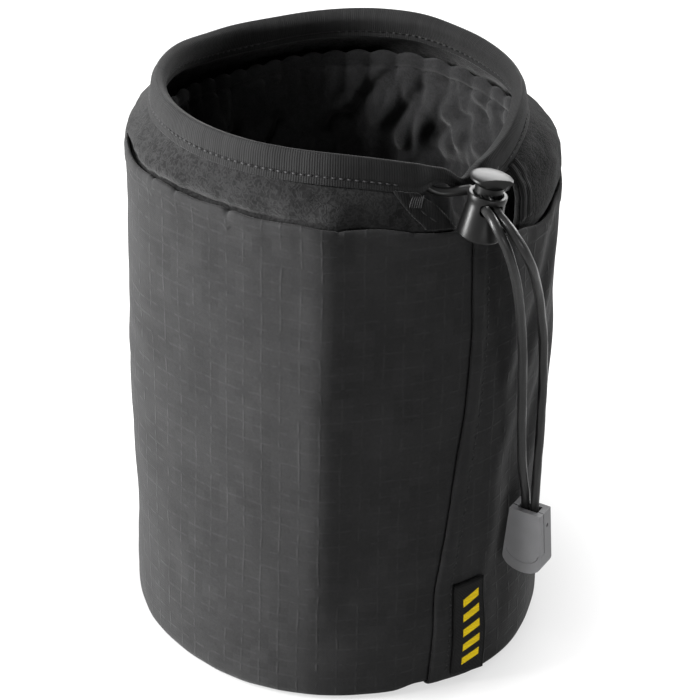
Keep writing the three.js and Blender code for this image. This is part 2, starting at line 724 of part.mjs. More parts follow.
// Body of the cord end: full thickness at the foot, cut back above it for the cover
function cordEndRear() {
  const block = uprightPlate(wedgeOutline(END_SHOULDER, END_DROP, 0, 0), -END_HALF_THICKNESS, END_THICKNESS);
  const seatDrop = coverDrop() + LAYER_GAP;
  const seatOutline = wedgeOutline(END_SHOULDER - END_STEP, seatDrop, END_TOP_WIDTH, END_TOP_WIDTH);
  const seatDepth = END_COVER + LAYER_GAP;
  const seat = uprightPlate(seatOutline, -END_HALF_THICKNESS - seatDepth, 2 * seatDepth);
  const window = new THREE.CylinderGeometry(END_WINDOW_RADIUS, END_WINDOW_RADIUS, END_FOOT_WIDTH, 12);
  window.rotateZ(Math.PI / 2).translate(END_FOOT_WIDTH / 2, END_HALF_THICKNESS / 3, -END_WINDOW_DROP);
  return cutAway(block, seat, cordChannel(), knotBall(LAYER_GAP), window);
}

// Free tail from the front of the lock into the channel of the cord end
function tail(side, course, lock, cordEnd) {
  const strand = side * STRAND_OFFSET;
  const route = [lock.localToWorld(new THREE.Vector3(STRAND_FRONT + LAYER_GAP, strand, 0))];
  route.push(...course.map((place) => new THREE.Vector3(...place).add(lock.position)));
  route.push(cordEnd.localToWorld(new THREE.Vector3(strand, 0, 0)));
  route.push(cordEnd.localToWorld(new THREE.Vector3(strand, 0, -END_CHANNEL_DEPTH)));
  return cordAlong(route, TAIL_STEPS);
}

// Finishes
const RIPSTOP = { color: 0x2c2d2f, roughness: 0.62, metalness: 0 };
const FLEECE = { color: 0x262729, roughness: 0.95, metalness: 0 };
const TAPE = { color: 0x2a2b2c, roughness: 0.8, metalness: 0 };
const FOAM = { color: 0x3a3a3c, roughness: 0.95, metalness: 0 };
const BRUSHED_LINING = { color: 0x2a2a2d, roughness: 0.9, metalness: 0 };
const CORD = { color: 0x232426, roughness: 0.6, metalness: 0 };
const LOCK_PLASTIC = { color: 0x3c3d3e, roughness: 0.28, metalness: 0 };
const END_PLASTIC = { color: 0x5a5b5c, roughness: 0.5, metalness: 0 };
const STEEL = { color: 0xb9bcc0, roughness: 0.3, metalness: 1 };
const WOVEN_TAB = { color: 0x18181a, roughness: 0.75, metalness: 0 };

function addPiece(parent, name, geometry, finish) {
  const piece = new THREE.Mesh(geometry, new THREE.MeshStandardMaterial(finish));
  piece.name = name;
  parent.add(piece);
}

const pouch = new THREE.Group();
addPiece(pouch, 'shell_panel', shellPanel(), RIPSTOP);
addPiece(pouch, 'base_panel', disc(BODY_RADIUS - EDGE_ROUND - LAYER_GAP, 0, BASE_CLOTH), RIPSTOP);
addPiece(pouch, 'base_pad', disc(LINING_RADIUS, BASE_TOP, BASE_FOAM), FOAM);
const floorRadius = LINING_RADIUS - LINING_CLOTH - LAYER_GAP;
addPiece(pouch, 'base_lining', disc(floorRadius, LINING_BASE, LINING_CLOTH), BRUSHED_LINING);
addPiece(pouch, 'wall_padding', wallPadding(), FOAM);
addPiece(pouch, 'wall_lining', wallLining(), BRUSHED_LINING);
addPiece(pouch, 'collar', collarBand(), FLEECE);
addPiece(pouch, 'rim_binding', rimBinding(), TAPE);
addPiece(pouch, 'slit_facing_left', slitFacing(slitLeft, -1), TAPE);
addPiece(pouch, 'slit_facing_right', slitFacing(slitRight, 1), TAPE);
addPiece(pouch, 'label_tag', labelTag(), WOVEN_TAB);

const lock = new THREE.Group();
lock.position.copy(polar(LOCK_REACH, LOCK_ANGLE, LOCK_HEIGHT));
lock.rotation.set(degToRad(-LOCK_LEAN), 0, degToRad(LOCK_FACING), 'ZYX');
pouch.add(lock);
lock.updateMatrixWorld(true);
addPiece(lock, 'lock_barrel', lockBarrel(), LOCK_PLASTIC);
addPiece(lock, 'lock_button', lockButton(), LOCK_PLASTIC);
addPiece(lock, 'lock_spring', lockSpring(), STEEL);
addPiece(lock, 'drawcord_grip_left', gripStrand(-1), CORD);
addPiece(lock, 'drawcord_grip_right', gripStrand(1), CORD);
addPiece(pouch, 'drawcord_loop', drawcordLoop(lock), CORD);

const cordEnd = new THREE.Group();
cordEnd.position.set(END_ASIDE, END_BACK, -END_FALL).add(lock.position);
cordEnd.rotation.z = degToRad(END_FACING);
pouch.add(cordEnd);
cordEnd.updateMatrixWorld(true);
addPiece(pouch, 'tail_left', tail(-1, TAIL_LEFT, lock, cordEnd), CORD);
addPiece(pouch, 'tail_right', tail(1, TAIL_RIGHT, lock, cordEnd), CORD);
addPiece(cordEnd, 'tail_knot', knotBall(0), CORD);
addPiece(cordEnd, 'cord_end_front', cordEndFront(), END_PLASTIC);
addPiece(cordEnd, 'cord_end_rear', cordEndRear(), END_PLASTIC);

export default pouch;
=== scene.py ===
"""Lens pouch dressed for rendering: ripstop wall, fleece collar, ribbed rim tape, gathered lining,
braided drawcord, sprung cord lock and cord end, on a plain studio floor. Metres, +Z up."""

import math

import bmesh
import bpy
import numpy as np
from bpy.props import FloatProperty, FloatVectorProperty, PointerProperty
from bpy.types import Operator, Panel, PropertyGroup
from mathutils import Matrix, Vector


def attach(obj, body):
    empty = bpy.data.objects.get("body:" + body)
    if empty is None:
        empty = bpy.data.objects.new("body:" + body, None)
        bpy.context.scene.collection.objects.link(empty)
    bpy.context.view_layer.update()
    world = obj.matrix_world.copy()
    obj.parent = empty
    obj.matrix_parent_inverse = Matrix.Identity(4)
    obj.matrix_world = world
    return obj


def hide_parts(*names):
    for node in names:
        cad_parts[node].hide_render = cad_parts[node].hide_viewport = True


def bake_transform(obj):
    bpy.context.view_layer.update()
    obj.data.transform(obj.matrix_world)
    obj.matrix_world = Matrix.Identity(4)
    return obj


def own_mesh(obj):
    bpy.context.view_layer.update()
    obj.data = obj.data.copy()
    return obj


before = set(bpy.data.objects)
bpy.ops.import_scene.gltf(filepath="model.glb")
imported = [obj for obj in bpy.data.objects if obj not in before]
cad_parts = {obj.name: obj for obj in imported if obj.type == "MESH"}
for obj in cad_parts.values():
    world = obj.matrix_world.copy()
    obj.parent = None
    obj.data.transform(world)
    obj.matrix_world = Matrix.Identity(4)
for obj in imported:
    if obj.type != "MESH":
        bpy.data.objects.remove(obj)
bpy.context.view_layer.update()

bl_info = {
    "name": "Lens pouch",
    "version": (1, 0, 0),
    "blender": (4, 5, 0),
    "location": "3D View > Sidebar > Pouch",
    "description": "Cloth, cord, cord lock and stage of a padded drawcord pouch",
    "category": "Object",
}


def length(name, description, default):
    return FloatProperty(name=name, description=description, default=default, min=0.0, unit="LENGTH")


def colour(name, description, default):
    return FloatVectorProperty(
        name=name, description=description, default=default, size=3, min=0.0, max=1.0, subtype="COLOR"
    )


class PouchSizes(PropertyGroup):
    """Sizes that a maker of the pouch would change"""

    body_radius: length("Body radius", "Outer radius of the cloth wall", 0.05)
    shell_height: length("Wall height", "Height of the wall at its hem", 0.126)
    shell_cloth: length("Wall cloth", "Thickness of the wall cloth", 0.001)
    hem_pucker: length("Hem pucker", "Depth of the puckers that the hem stitching draws", 0.0003)
    rim_radius: length("Rim radius", "Mean radius of the rim tape", 0.0417)
    rim_height: length("Rim height", "Height of the rim above the floor", 0.141)
    tape_width: length("Tape width", "Height of the folded rim tape", 0.007)
    collar_cloth: length("Fleece", "Thickness of the fleece collar", 0.0015)
    lining_fold: length("Lining fold", "Depth of the folds of the gathered lining", 0.0046)
    cord_diameter: length("Cord", "Diameter of the drawcord", 0.0021)
    stitch_length: length("Stitch", "Length of one stitch", 0.0021)
    thread: length("Thread", "Diameter of the sewing thread", 0.00034)
    grid_across: length("Ripstop grid across", "Spacing of the upright ripstop threads", 0.0047)
    grid_up: length("Ripstop grid up", "Spacing of the level ripstop threads", 0.0042)


class PouchColours(PropertyGroup):
    """Colours of the finishes"""

    ripstop: colour("Ripstop", "Wall and base cloth", (0.0225, 0.0225, 0.0228))
    fleece: colour("Fleece", "Collar", (0.0158, 0.0158, 0.0160))
    tape: colour("Tape", "Rim tape", (0.021, 0.021, 0.0212))
    facing: colour("Slit tape", "Bound edges of the slit", (0.012, 0.012, 0.0122))
    lining: colour("Lining", "Gathered inner cloth", (0.021, 0.021, 0.0216))
    foam: colour("Foam", "Padding between the cloths", (0.11, 0.11, 0.115))
    cord: colour("Cord", "Drawcord and tails", (0.0080, 0.0080, 0.0080))
    thread: colour("Thread", "Sewing thread of the wall and lining", (0.0110, 0.0110, 0.0112))
    tape_thread: colour("Tape thread", "Thread of the rim tape and the bar tack", (0.032, 0.032, 0.0326))
    lock: colour("Lock plastic", "Barrel and button of the cord lock", (0.0025, 0.0025, 0.0025))
    cord_end: colour("Cord end plastic", "Cover and body of the cord end", (0.18, 0.18, 0.185))
    steel: colour("Spring steel", "Return spring", (0.55, 0.56, 0.57))
    tab: colour("Tab", "Woven tab in the side seam", (0.0055, 0.0055, 0.0056))
    stripe: colour("Tab bars", "Plain bars woven in the tab", (0.92, 0.66, 0.015))
    floor: colour("Floor", "Studio floor", (0.20, 0.20, 0.20))


def sizes():
    return bpy.context.scene.pouch_sizes


def colours():
    return bpy.context.scene.pouch_colours


# Camera at the photograph's view
CAMERA_PLACE = (0.00533, -0.51611, 0.37782)
CAMERA_PITCH = 0.5424
CAMERA_YAW = 0.006
CAMERA_ROLL = 0.0213
CAMERA_LENS = 128.8
SENSOR_WIDTH = 36.0
CAMERA_NEAR = 0.01

# Lamps: name, place, diameter, power
LAMPS = (
    ("Key", (-0.64, -0.15, 0.50), 0.36, 15.0),
    ("Side", (-0.80, -0.10, 0.09), 0.18, 15.5),
    ("Rim", (0.48, 0.46, 0.30), 0.30, 3.4),
    ("Fill", (0.42, -0.84, 0.10), 0.50, 5.2),
    ("Top", (0.15, 0.70, 0.42), 0.42, 4.0),
    ("Mouth", (-0.24, -0.40, 0.80), 0.20, 0.7),
)
LAMP_AIM = (0, 0, 0.07)

# Surroundings: their light on the pouch, and how bright they look
WORLD_LIGHT, WORLD_SEEN = 0.01, 0.98

# Floor: its glow is lower near the pouch than far from it, so that the shadow shows
FLOOR_NEAR, FLOOR_FAR = 0.60, 0.96
FLOOR_NEAR_REACH, FLOOR_FAR_REACH = 0.046, 0.078
FLOOR_SIZE, FLOOR_LEVEL = 3.0, -0.0001

# Form of the pouch, angles in degrees about +Z from +X
HEM_DIP, HEM_DIP_ANGLE, HEM_DIP_SPREAD = 0.0115, -20.0, 38.0
HEM_PINCHES = ((-146.5, 0.8), (-138.0, 0.7), (-121.0, 1.3), (-90.5, 0.6), (-71.0, 0.4))
HEM_NOTCH, HEM_LINE, HEM_RIDGE = 0.0006, 0.0031, 0.00004
HEM_THICKER, HEM_EDGE = 0.0003, 0.0012
HEM_EDGE_ROWS = (0.0019, 0.0014, 0.001, 0.0006, 0.0003, 0.0001, 0.0)
SEAM_COURSE = (
    (0.0, -63.0), (0.015, -62.3), (0.029, -62.2), (0.043, -59.9), (0.059, -57.7),
    (0.08, -54.9), (0.098, -53.7), (0.118, -54.6), (0.126, -55.0),
)
SEAM_OVERLAP, SEAM_MARGIN, SEAM_RAMP, SEAM_STITCH = 0.010, 0.002, 0.009, 0.0041
LAYER_GAP = 0.0003
EDGE_ROUND = 0.0022
FLOOR_GAP = 0.0002
SLEEVE_BASE, SLEEVE_BORE, SLEEVE_CHAMFER = 0.0015, 0.0437, 0.0026
PAD_BASE, PAD_TOP, PAD_EDGE = 0.0015, 0.0065, 0.0011
LINING_RADIUS, LINING_BASE, LINING_CLOTH, LINING_DROP = 0.0434, 0.0068, 0.0012, 0.012
LINING_TALL, GATHER_DROP = 0.121, 0.0034
FLOOR_CLOTH_TOP, FLOOR_CLOTH_EDGE = 0.008, 0.0005
BASE_CLOTH, BASE_EDGE = 0.0012, 0.0005
COLLAR_TUCK, COLLAR_KNEE_DROP, COLLAR_PUFF, COLLAR_DOME = 0.013, 0.003, 0.0005, 0.62
SLIT_LEFT_TOP, SLIT_LEFT_BOTTOM, SLIT_RIGHT_TOP, SLIT_RIGHT_BOTTOM = -71.5, -56.0, -34.5, -36.0
RIM_SHIFT, RIM_SHIFT_ANGLE, RIM_TILT, RIM_TILT_ANGLE = 0.0023, -135.0, 0.0014, -105.0
RIM_NOTCH, RIM_NOTCH_ANGLE, RIM_NOTCH_SPREAD = 0.003, -53.5, 4.5
RIM_PULL, RIM_DIP, RIM_DIP_ANGLE, RIM_DIP_SPREAD = 0.0018, 0.006, -48.0, 28.0
TAPE_CLOTH, TAPE_BRIDGE, TAPE_GRIP, TAPE_LEAN = 0.0006, 0.0034, 0.003, 15.0
TAPE_NARROWING_LEFT, TAPE_NARROWING_RIGHT = 6.5, 15.0
TAPE_SPREAD, TAPE_STITCH_SINK, TAPE_STITCH_SHARE = 0.0039, 0.0007, 0.25
DOME_FROM, GRIP_FROM = 0.2, 0.85
FACING_WIDTH, FACING_CLOTH, FACING_RISE = {"left": 0.0064, "right": 0.0042}, 0.0008, 0.0008
FACING_RADIUS, FACING_GROOVE = 0.048, 0.00022
TACK_STITCHES, TACK_START, TACK_STEP, TACK_LEAN, TACK_LOW, TACK_TALL = 6, -5.7, 0.62, 1.5, 0.63, 0.13
TAG_WIDTH, TAG_HEIGHT, TAG_ANGLE, TAG_BASE, TAG_LIFT = 0.0082, 0.026, -57.0, 0.003, 0.0005
TAG_PLY, TAG_PLY_GAP = 0.00028, 0.00012
BAR_PITCH, BAR_COUNT, BAR_SLANT = 0.0042, 5, 0.45
BAR_MIDDLE, BAR_HALF = 0.0044, 0.0022

# Weave of the ripstop and ribs of the tape
WEAVE_PITCH, RIB_PITCH = 0.00052, 0.00052

# Soft swells: depth, angle, spread
WALL_SWELLS = (
    (0.0013, -158, 15), (-0.0016, -122, 18), (0.0011, -94, 6.5),
    (-0.0008, -78, 11), (0.0008, -5, 16), (-0.0007, 60, 30),
)
RIM_SAGS = ((0.0021, 130, 24), (-0.0011, 66, 22))
COLLAR_HOLLOWS = ((0.0016, 15, 60), (0.0006, 175, 40))
COLLAR_SIDES = ((0.0019, 180, 42), (0.0013, 0, 32))

# Cord lock and cord end, each in its own frame
LOCK_REACH, LOCK_ANGLE, LOCK_HEIGHT, LOCK_FACING, LOCK_LEAN = 0.0545, -55.8, 0.1309, -72.0, 10.0
BARREL_DEPTH, BARREL_RISE, BARREL_FLOOR = 0.0076, 0.0026, 0.0009
BARREL_RADIUS, BORE_RADIUS = 0.0041, 0.0033
FOOT_RADIUS, FOOT_ROUND, LIP, LIP_FLARE = 0.0049, 0.0008, 0.0013, 0.00015
STEM_RADIUS, STEM_TIP, HEAD_RADIUS, HEAD_BASE = 0.0031, -0.00225, 0.0047, 0.0048
HEAD_HEIGHT, HEAD_DOME, HEAD_FLAT, HEAD_TURN, BUTTON_TRAVEL = 0.0021, 0.0008, 0.0026, 5.0, 0.002
HEAD_RIM = 0.0006
SLOT_HALF_WIDTH, SLOT_HALF_HEIGHT = 0.00255, 0.00135
SPRING_WIRE, SPRING_RADIUS, SPRING_TURNS = 0.00045, 0.0023, 3.5
SPRING_BASE, SPRING_TOP = -0.006175, -0.002775
STRAND_OFFSET, STRAND_FRONT = 0.0012, 0.0053
END_PLACE, END_FACING = (0.0145, 0.01025, -0.0846), -30.0
END_TOP_WIDTH, END_FOOT_WIDTH, END_SHOULDER, END_DROP = 0.008, 0.0102, 0.0135, 0.0035
END_THICKNESS, END_COVER, END_STEP, END_CHANNEL = 0.0054, 0.0017, 0.0026, 0.0053
END_SHELF = 0.0007
KNOT_SIZE, KNOT_DROP = (0.005, 0.003, 0.0034), 0.0073
CORD_SIDES, CORD_BRAID, CORD_GRIPPED = 24, 0.05, 0.985

# Links of the cord to the lock: distance out from the rim, angle, distance up from the rim
LINK_LEFT = (
    (0.0007, -70, -0.0055), (0.0014, -66.8, -0.0078), (0.002, -64.6, -0.0096),
    (0.0027, -62, -0.0105), (0.0039, -58.6, -0.0106), (0.0052, -56, -0.0102),
)
LINK_RIGHT = (
    (-0.0003, -34, -0.0075), (0.0003, -36.8, -0.0085), (0.0013, -40.2, -0.0106),
    (0.0024, -43, -0.0116), (0.0041, -46.5, -0.0117), (0.0056, -49.7, -0.0111),
)

# Tails of the cord: places from the middle of the lock
TAIL_LEFT = (
    (0.00085, -0.00635, 0.00015), (0.0014, -0.00765, -0.00025), (0.00215, -0.0089, -0.0012),
    (0.0031, -0.0098, -0.00275), (0.00405, -0.00995, -0.0046), (0.005, -0.0095, -0.0073),
    (0.0059, -0.0084, -0.0105), (0.0069, -0.0065, -0.0148), (0.0078, -0.0042, -0.02),
    (0.0086, -0.0019, -0.0259), (0.0094, 0.0002, -0.0327), (0.01, 0.0019, -0.0399),
    (0.0104, 0.0034, -0.0474), (0.0108, 0.0048, -0.0554), (0.0112, 0.0062, -0.0634),
    (0.0118, 0.0077, -0.0709), (0.0126, 0.0092, -0.0769), (0.0133, 0.0104, -0.0814),
)
TAIL_RIGHT = (
    (0.0032, -0.00585, -0.0003), (0.004, -0.00725, -0.0007), (0.0052, -0.00865, -0.0017),
    (0.00655, -0.00955, -0.0034), (0.00785, -0.00965, -0.0055), (0.009, -0.0088, -0.0081),
    (0.0101, -0.0071, -0.0113), (0.0111, -0.0047, -0.0153), (0.0122, -0.0019, -0.0205),
    (0.0132, 0.0005, -0.0265), (0.0141, 0.0025, -0.0331), (0.0147, 0.004, -0.0403),
    (0.0151, 0.0053, -0.0479), (0.0153, 0.0064, -0.0559), (0.0154, 0.0074, -0.0639),
    (0.0154, 0.0082, -0.0711), (0.0154, 0.0089, -0.0771), (0.0155, 0.0094, -0.0814),
)


# Small sums


def smooth(value, low=0.0, high=1.0):
    share = np.clip((value - low) / (high - low), 0, 1)
    return share * share * (3 - 2 * share)


def lerp(start, end, share):
    return start + (end - start) * share


def wrapped(angle):
    """Angle in degrees brought to within half a turn."""
    return (angle + 180) % 360 - 180


def hump(value, centre, spread):
    """One at the centre, falling softly to nothing."""
    return np.exp(-(((value - centre) / spread) ** 2))


def nearness(angle, centre, spread):
    return hump(wrapped(angle - centre), 0.0, spread)


def swells(angle, table):
    return sum(depth * nearness(angle, centre, spread) for depth, centre, spread in table)


def graded(*parts):
    """Rising row of values, each part with its start, end and count."""
    rows = [np.linspace(start, end, count, endpoint=False) for start, end, count in parts[:-1]]
    return np.concatenate([*rows, np.linspace(*parts[-1])])


def polar(radius, angle, height):
    turn = np.radians(angle)
    return np.stack(np.broadcast_arrays(radius * np.cos(turn), radius * np.sin(turn), height), -1)


def lumps(points, seed, shortest, longest, waves=18):
    """Smooth irregular field over space, about -1 to 1, the same on every run."""
    rng = np.random.default_rng(seed)
    total = np.zeros(np.shape(points)[:-1])
    for _ in range(waves):
        heading = rng.normal(size=3)
        heading *= 2 * np.pi / (np.linalg.norm(heading) * rng.uniform(shortest, longest))
        total += np.sin(points @ heading + rng.uniform(0, 2 * np.pi))
    return total / math.sqrt(waves)


def rounded_edge(distance, reach):
    """Share of the cloth's thickness at a distance from its edge, so that the edge is round."""
    inside = 1 - np.clip(distance / reach, 0, 1)
    return np.sqrt(np.clip(1 - inside * inside, 0.0004, 1))


# Mesh making


def add_mesh(name, points, faces, material, sharp_angle=None):
    mesh = bpy.data.meshes.new(name)
    mesh.from_pydata(np.asarray(points, float).reshape(-1, 3).tolist(), [], [list(f) for f in faces])
    mesh.validate()
    mesh.shade_smooth()
    if sharp_angle is not None:
        mesh.set_sharp_from_angle(angle=math.radians(sharp_angle))
    piece = bpy.data.objects.new(name, mesh)
    piece.data.materials.append(material)
    bpy.context.scene.collection.objects.link(piece)
    return piece


def grid_faces(columns, rows, is_ring, first=0, flip=False):
    """Quads of a grid of points stored column by column."""
    i, j = np.meshgrid(np.arange(columns if is_ring else columns - 1), np.arange(rows - 1), indexing="ij")
    k = (i + 1) % columns
    corners = [i * rows + j, k * rows + j, k * rows + j + 1, i * rows + j + 1]
    quads = np.stack(corners, -1).reshape(-1, 4) + first
    return quads[:, ::-1] if flip else quads


def cloth_mesh(name, outer, inner, is_ring, material):
    """Closed sheet between two grids of points, columns round the pouch and rows upwards."""
    columns, rows = outer.shape[:2]
    second = columns * rows
    faces = [grid_faces(columns, rows, is_ring), grid_faces(columns, rows, is_ring, second, True)]
    i = np.arange(columns if is_ring else columns - 1)
    k = (i + 1) % columns
    for row, turned in ((0, True), (rows - 1, False)):
        a, b = i * rows + row, k * rows + row
        rim = np.stack([a, b, b + second, a + second], -1)
        faces.append(rim[:, ::-1] if turned else rim)
    if not is_ring:
        j = np.arange(rows - 1)
        for column, turned in ((0, False), (columns - 1, True)):
            a = column * rows + j
            side = np.stack([a, a + 1, a + 1 + second, a + second], -1)
            faces.append(side[:, ::-1] if turned else side)
    points = np.concatenate([outer.reshape(-1, 3), inner.reshape(-1, 3)])
    return add_mesh(name, points, np.concatenate(faces), material)


def hoop_mesh(name, sections, material):
    """Closed solid from closed sections, one at each station round the pouch."""
    stations, count = sections.shape[:2]
    i, k = np.meshgrid(np.arange(stations), np.arange(count), indexing="ij")
    j, m = (i + 1) % stations, (k + 1) % count
    faces = np.stack([i * count + k, j * count + k, j * count + m, i * count + m], -1).reshape(-1, 4)
    return add_mesh(name, sections, faces, material)


def turned_mesh(name, profile, facets, material, dent=None):
    """Solid of revolution about Z from (radius, height) pairs that start and end on the axis."""
    profile = np.asarray(profile, float)
    turn = np.linspace(0, 2 * np.pi, facets, endpoint=False)
    ring = profile[1:-1]
    points = np.stack(
        [
            np.outer(np.cos(turn), ring[:, 0]),
            np.outer(np.sin(turn), ring[:, 0]),
            np.broadcast_to(ring[:, 1], (facets, len(ring))),
        ],
        -1,
    )
    if dent is not None:
        points = dent(points)
    rows = len(ring)
    faces = [tuple(f) for f in grid_faces(facets, rows, True)]
    bottom, top = facets * rows, facets * rows + 1
    for i in range(facets):
        k = (i + 1) % facets
        faces.append((bottom, k * rows, i * rows))
        faces.append((top, i * rows + rows - 1, k * rows + rows - 1))
    ends = np.array([[0, 0, profile[0, 1]], [0, 0, profile[-1, 1]]])
    points = np.concatenate([points.reshape(-1, 3), ends])
    return add_mesh(name, points, faces, material)


def arc(centre, half_width, half_height, start, steps=8):
    """Quarter of an ellipse as (radius, height) pairs."""
    turn = np.radians(np.linspace(start, start + 90, steps + 1))
    return [(centre[0] + half_width * math.cos(t), centre[1] + half_height * math.sin(t)) for t in turn]


def disc_profile(radius, low, high, edge, count, steps):
    """Profile of a flat disc with a round edge and rings of points on both faces."""
    rings = np.linspace(0.002, radius - edge, count)
    under = [(r, low) for r in rings] + arc((radius - edge, low + edge), edge, edge, -90, steps)[1:]
    over = arc((radius - edge, high - edge), edge, edge, 0, steps) + [(r, high) for r in rings[::-1]]
    return [(0, low)] + under + over + [(0, high)]


def plate_mesh(name, outline, front, thickness, material):
    """Upright plate: an outline in X and Z, thick along +Y from the front."""
    count = len(outline)
    points = [(x, front, z) for x, z in outline] + [(x, front + thickness, z) for x, z in outline]
    faces = [tuple(range(count)), tuple(range(2 * count - 1, count - 1, -1))]
    for k in range(count):
        m = (k + 1) % count
        faces.append((m, k, k + count, m + count))
    piece = add_mesh(name, points, faces, material)
    return outwards(piece)


def outwards(piece):
    """Turns the faces of a closed mesh out."""
    body = bmesh.new()
    body.from_mesh(piece.data)
    bmesh.ops.recalc_face_normals(body, faces=body.faces)
    body.to_mesh(piece.data)
    body.free()
    return piece


def baked(piece):
    """The piece with its modifiers worked into its mesh."""
    shown = piece.evaluated_get(bpy.context.evaluated_depsgraph_get())
    mesh = bpy.data.meshes.new_from_object(shown)
    piece.modifiers.clear()
    piece.data = mesh
    return piece


def cut_away(piece, *cutters):
    for cutter in cutters:
        step = piece.modifiers.new("cut", "BOOLEAN")
        step.operation, step.solver, step.object = "DIFFERENCE", "EXACT", cutter
    bpy.context.view_layer.update()
    baked(piece)
    for cutter in cutters:
        bpy.data.objects.remove(cutter)
    return piece


def soften(piece, width, sharp_angle=35.0, segments=3, flat_from=1.0):
    """Rounds the sharp edges of a moulded piece."""
    step = piece.modifiers.new("soften", "BEVEL")
    step.width, step.segments, step.limit_method = width, segments, "ANGLE"
    step.angle_limit = math.radians(sharp_angle)
    step.use_clamp_overlap = True
    baked(piece)
    for face in piece.data.polygons:
        face.use_smooth = face.area < flat_from
    return piece


def smooth_route(points, samples=16):
    """Points along a curve through the route, spaced by its own chords."""
    points = np.asarray(points, float)
    ends = np.concatenate([[2 * points[0] - points[1]], points, [2 * points[-1] - points[-2]]])
    knots = np.concatenate([[0], np.cumsum(np.linalg.norm(np.diff(ends, axis=0), axis=1) ** 0.5)])
    out = []
    for k in range(1, len(ends) - 2):
        t0, t1, t2, t3 = knots[k - 1 : k + 3]
        p0, p1, p2, p3 = ends[k - 1 : k + 3]
        for t in np.linspace(t1, t2, samples, endpoint=False):
            a1 = ((t1 - t) * p0 + (t - t0) * p1) / (t1 - t0)
            a2 = ((t2 - t) * p1 + (t - t1) * p2) / (t2 - t1)
            a3 = ((t3 - t) * p2 + (t - t2) * p3) / (t3 - t2)
            b1 = ((t2 - t) * a1 + (t - t0) * a2) / (t2 - t0)
            b2 = ((t3 - t) * a2 + (t - t1) * a3) / (t3 - t1)
            out.append(((t2 - t) * b1 + (t - t1) * b2) / (t2 - t1))
    out.append(points[-1])
    return np.array(out)


def run_length(line):
    return np.concatenate([[0], np.cumsum(np.linalg.norm(np.diff(line, axis=0), axis=1))])


def along_route(line, places):
    run = run_length(line)
    return np.stack([np.interp(places, run, line[:, k]) for k in range(3)], -1)


def tube_mesh(name, line, radius, sides, material, braid=0.0, strands=8, pitch=0.014):
    """Round cord along a line, with braided strands standing a little proud."""
    ahead = np.gradient(line, axis=0)
    ahead /= np.linalg.norm(ahead, axis=1)[:, None]
    side = np.cross(ahead[0], (0.31, 0.2, 0.93))
    sideways = []
    for direction in ahead:
        side = side - direction * (side @ direction)
        side /= np.linalg.norm(side)
        sideways.append(side)
    sideways = np.array(sideways)
    upwards = np.cross(ahead, sideways)
    turn = np.linspace(0, 2 * np.pi, sides, endpoint=False)
    run = run_length(line)[:, None] * 2 * np.pi / pitch
    lay = strands / 2 * turn[None, :]
    rope = np.maximum(np.cos(lay + run), np.cos(lay - run))
    reach = radius * (1 + braid * (rope - 0.6))
    rings = line[:, None] + reach[..., None] * (
        np.cos(turn)[None, :, None] * sideways[:, None] + np.sin(turn)[None, :, None] * upwards[:, None]
    )
    count = len(line)
    i, k = np.meshgrid(np.arange(count - 1), np.arange(sides), indexing="ij")
    m = (k + 1) % sides
    corners = [i * sides + k, i * sides + m, (i + 1) * sides + m, (i + 1) * sides + k]
    faces = [tuple(f) for f in np.stack(corners, -1).reshape(-1, 4)]
    faces.append(tuple(range(sides - 1, -1, -1)))
    faces.append(tuple(range((count - 1) * sides, count * sides)))
    piece = add_mesh(name, rings, faces, material, 60)
    return outwards(piece)


def stitch_mesh(name, starts, ends, lifts, radius, material, sink=0.35):
    """Row of stitches: each is a short bowed thread that dives into the cloth at both ends."""
    sides, rings = 6, 6
    share = np.linspace(0, 1, rings)
    turn = np.linspace(0, 2 * np.pi, sides, endpoint=False)
    bow = np.sin(np.pi * share)
    points, faces = [], []
    for start, end, lift in zip(starts, ends, lifts):
        ahead = end - start
        ahead = ahead / np.linalg.norm(ahead)
        lift = lift - ahead * (lift @ ahead)
        lift = lift / np.linalg.norm(lift)
        across = np.cross(ahead, lift)
        first = len(points) * sides * rings
        rise = radius * (bow * (1 + sink) - sink * 1.6)
        line = start + np.outer(share, end - start) + np.outer(rise, lift)
        thick = radius * (0.72 + 0.28 * bow)
        ring = line[:, None] + thick[:, None, None] * (
            np.cos(turn)[None, :, None] * across + np.sin(turn)[None, :, None] * lift
        )
        points.append(ring.reshape(-1, 3))
        for i in range(rings - 1):
            for k in range(sides):
                m = (k + 1) % sides
                faces.append((first + i * sides + k, first + i * sides + m,
                              first + (i + 1) * sides + m, first + (i + 1) * sides + k))
        faces.append(tuple(first + k for k in range(sides - 1, -1, -1)))
        faces.append(tuple(first + (rings - 1) * sides + k for k in range(sides)))
    piece = add_mesh(name, np.concatenate(points), faces, material, 60)
    return outwards(piece)


def stitched_line(surface, places, pitch, fill=0.72):
    """Starts, ends and lifts of stitches along a line on a surface(place, depth)."""
    on = surface(places, 0.0)
    up = surface(places, 0.001) - on
    run = run_length(on)
    count = max(2, int(run[-1] / pitch))
    begin = np.arange(count) * run[-1] / count
    finish = begin + fill * run[-1] / count
    pick = lambda at, table: np.stack([np.interp(at, run, table[:, k]) for k in range(3)], -1)
    return pick(begin, on), pick(finish, on), pick((begin + finish) / 2, up)


# Form of the cloth


def hem_top(angle):
    wave = 0.00028 * np.sin(np.radians(7 * angle + 40)) + 0.00022 * np.sin(np.radians(17 * angle))
    dip = HEM_DIP * nearness(angle, HEM_DIP_ANGLE, HEM_DIP_SPREAD) + HEM_NOTCH * hem_notches(angle)
    return sizes().shell_height - dip + wave


def cord_pull(angle):
    return nearness(angle, RIM_DIP_ANGLE, RIM_DIP_SPREAD)


def rim_radius(angle):
    shift = RIM_SHIFT * np.cos(np.radians(angle - RIM_SHIFT_ANGLE))
    return sizes().rim_radius + shift + RIM_PULL * cord_pull(angle)


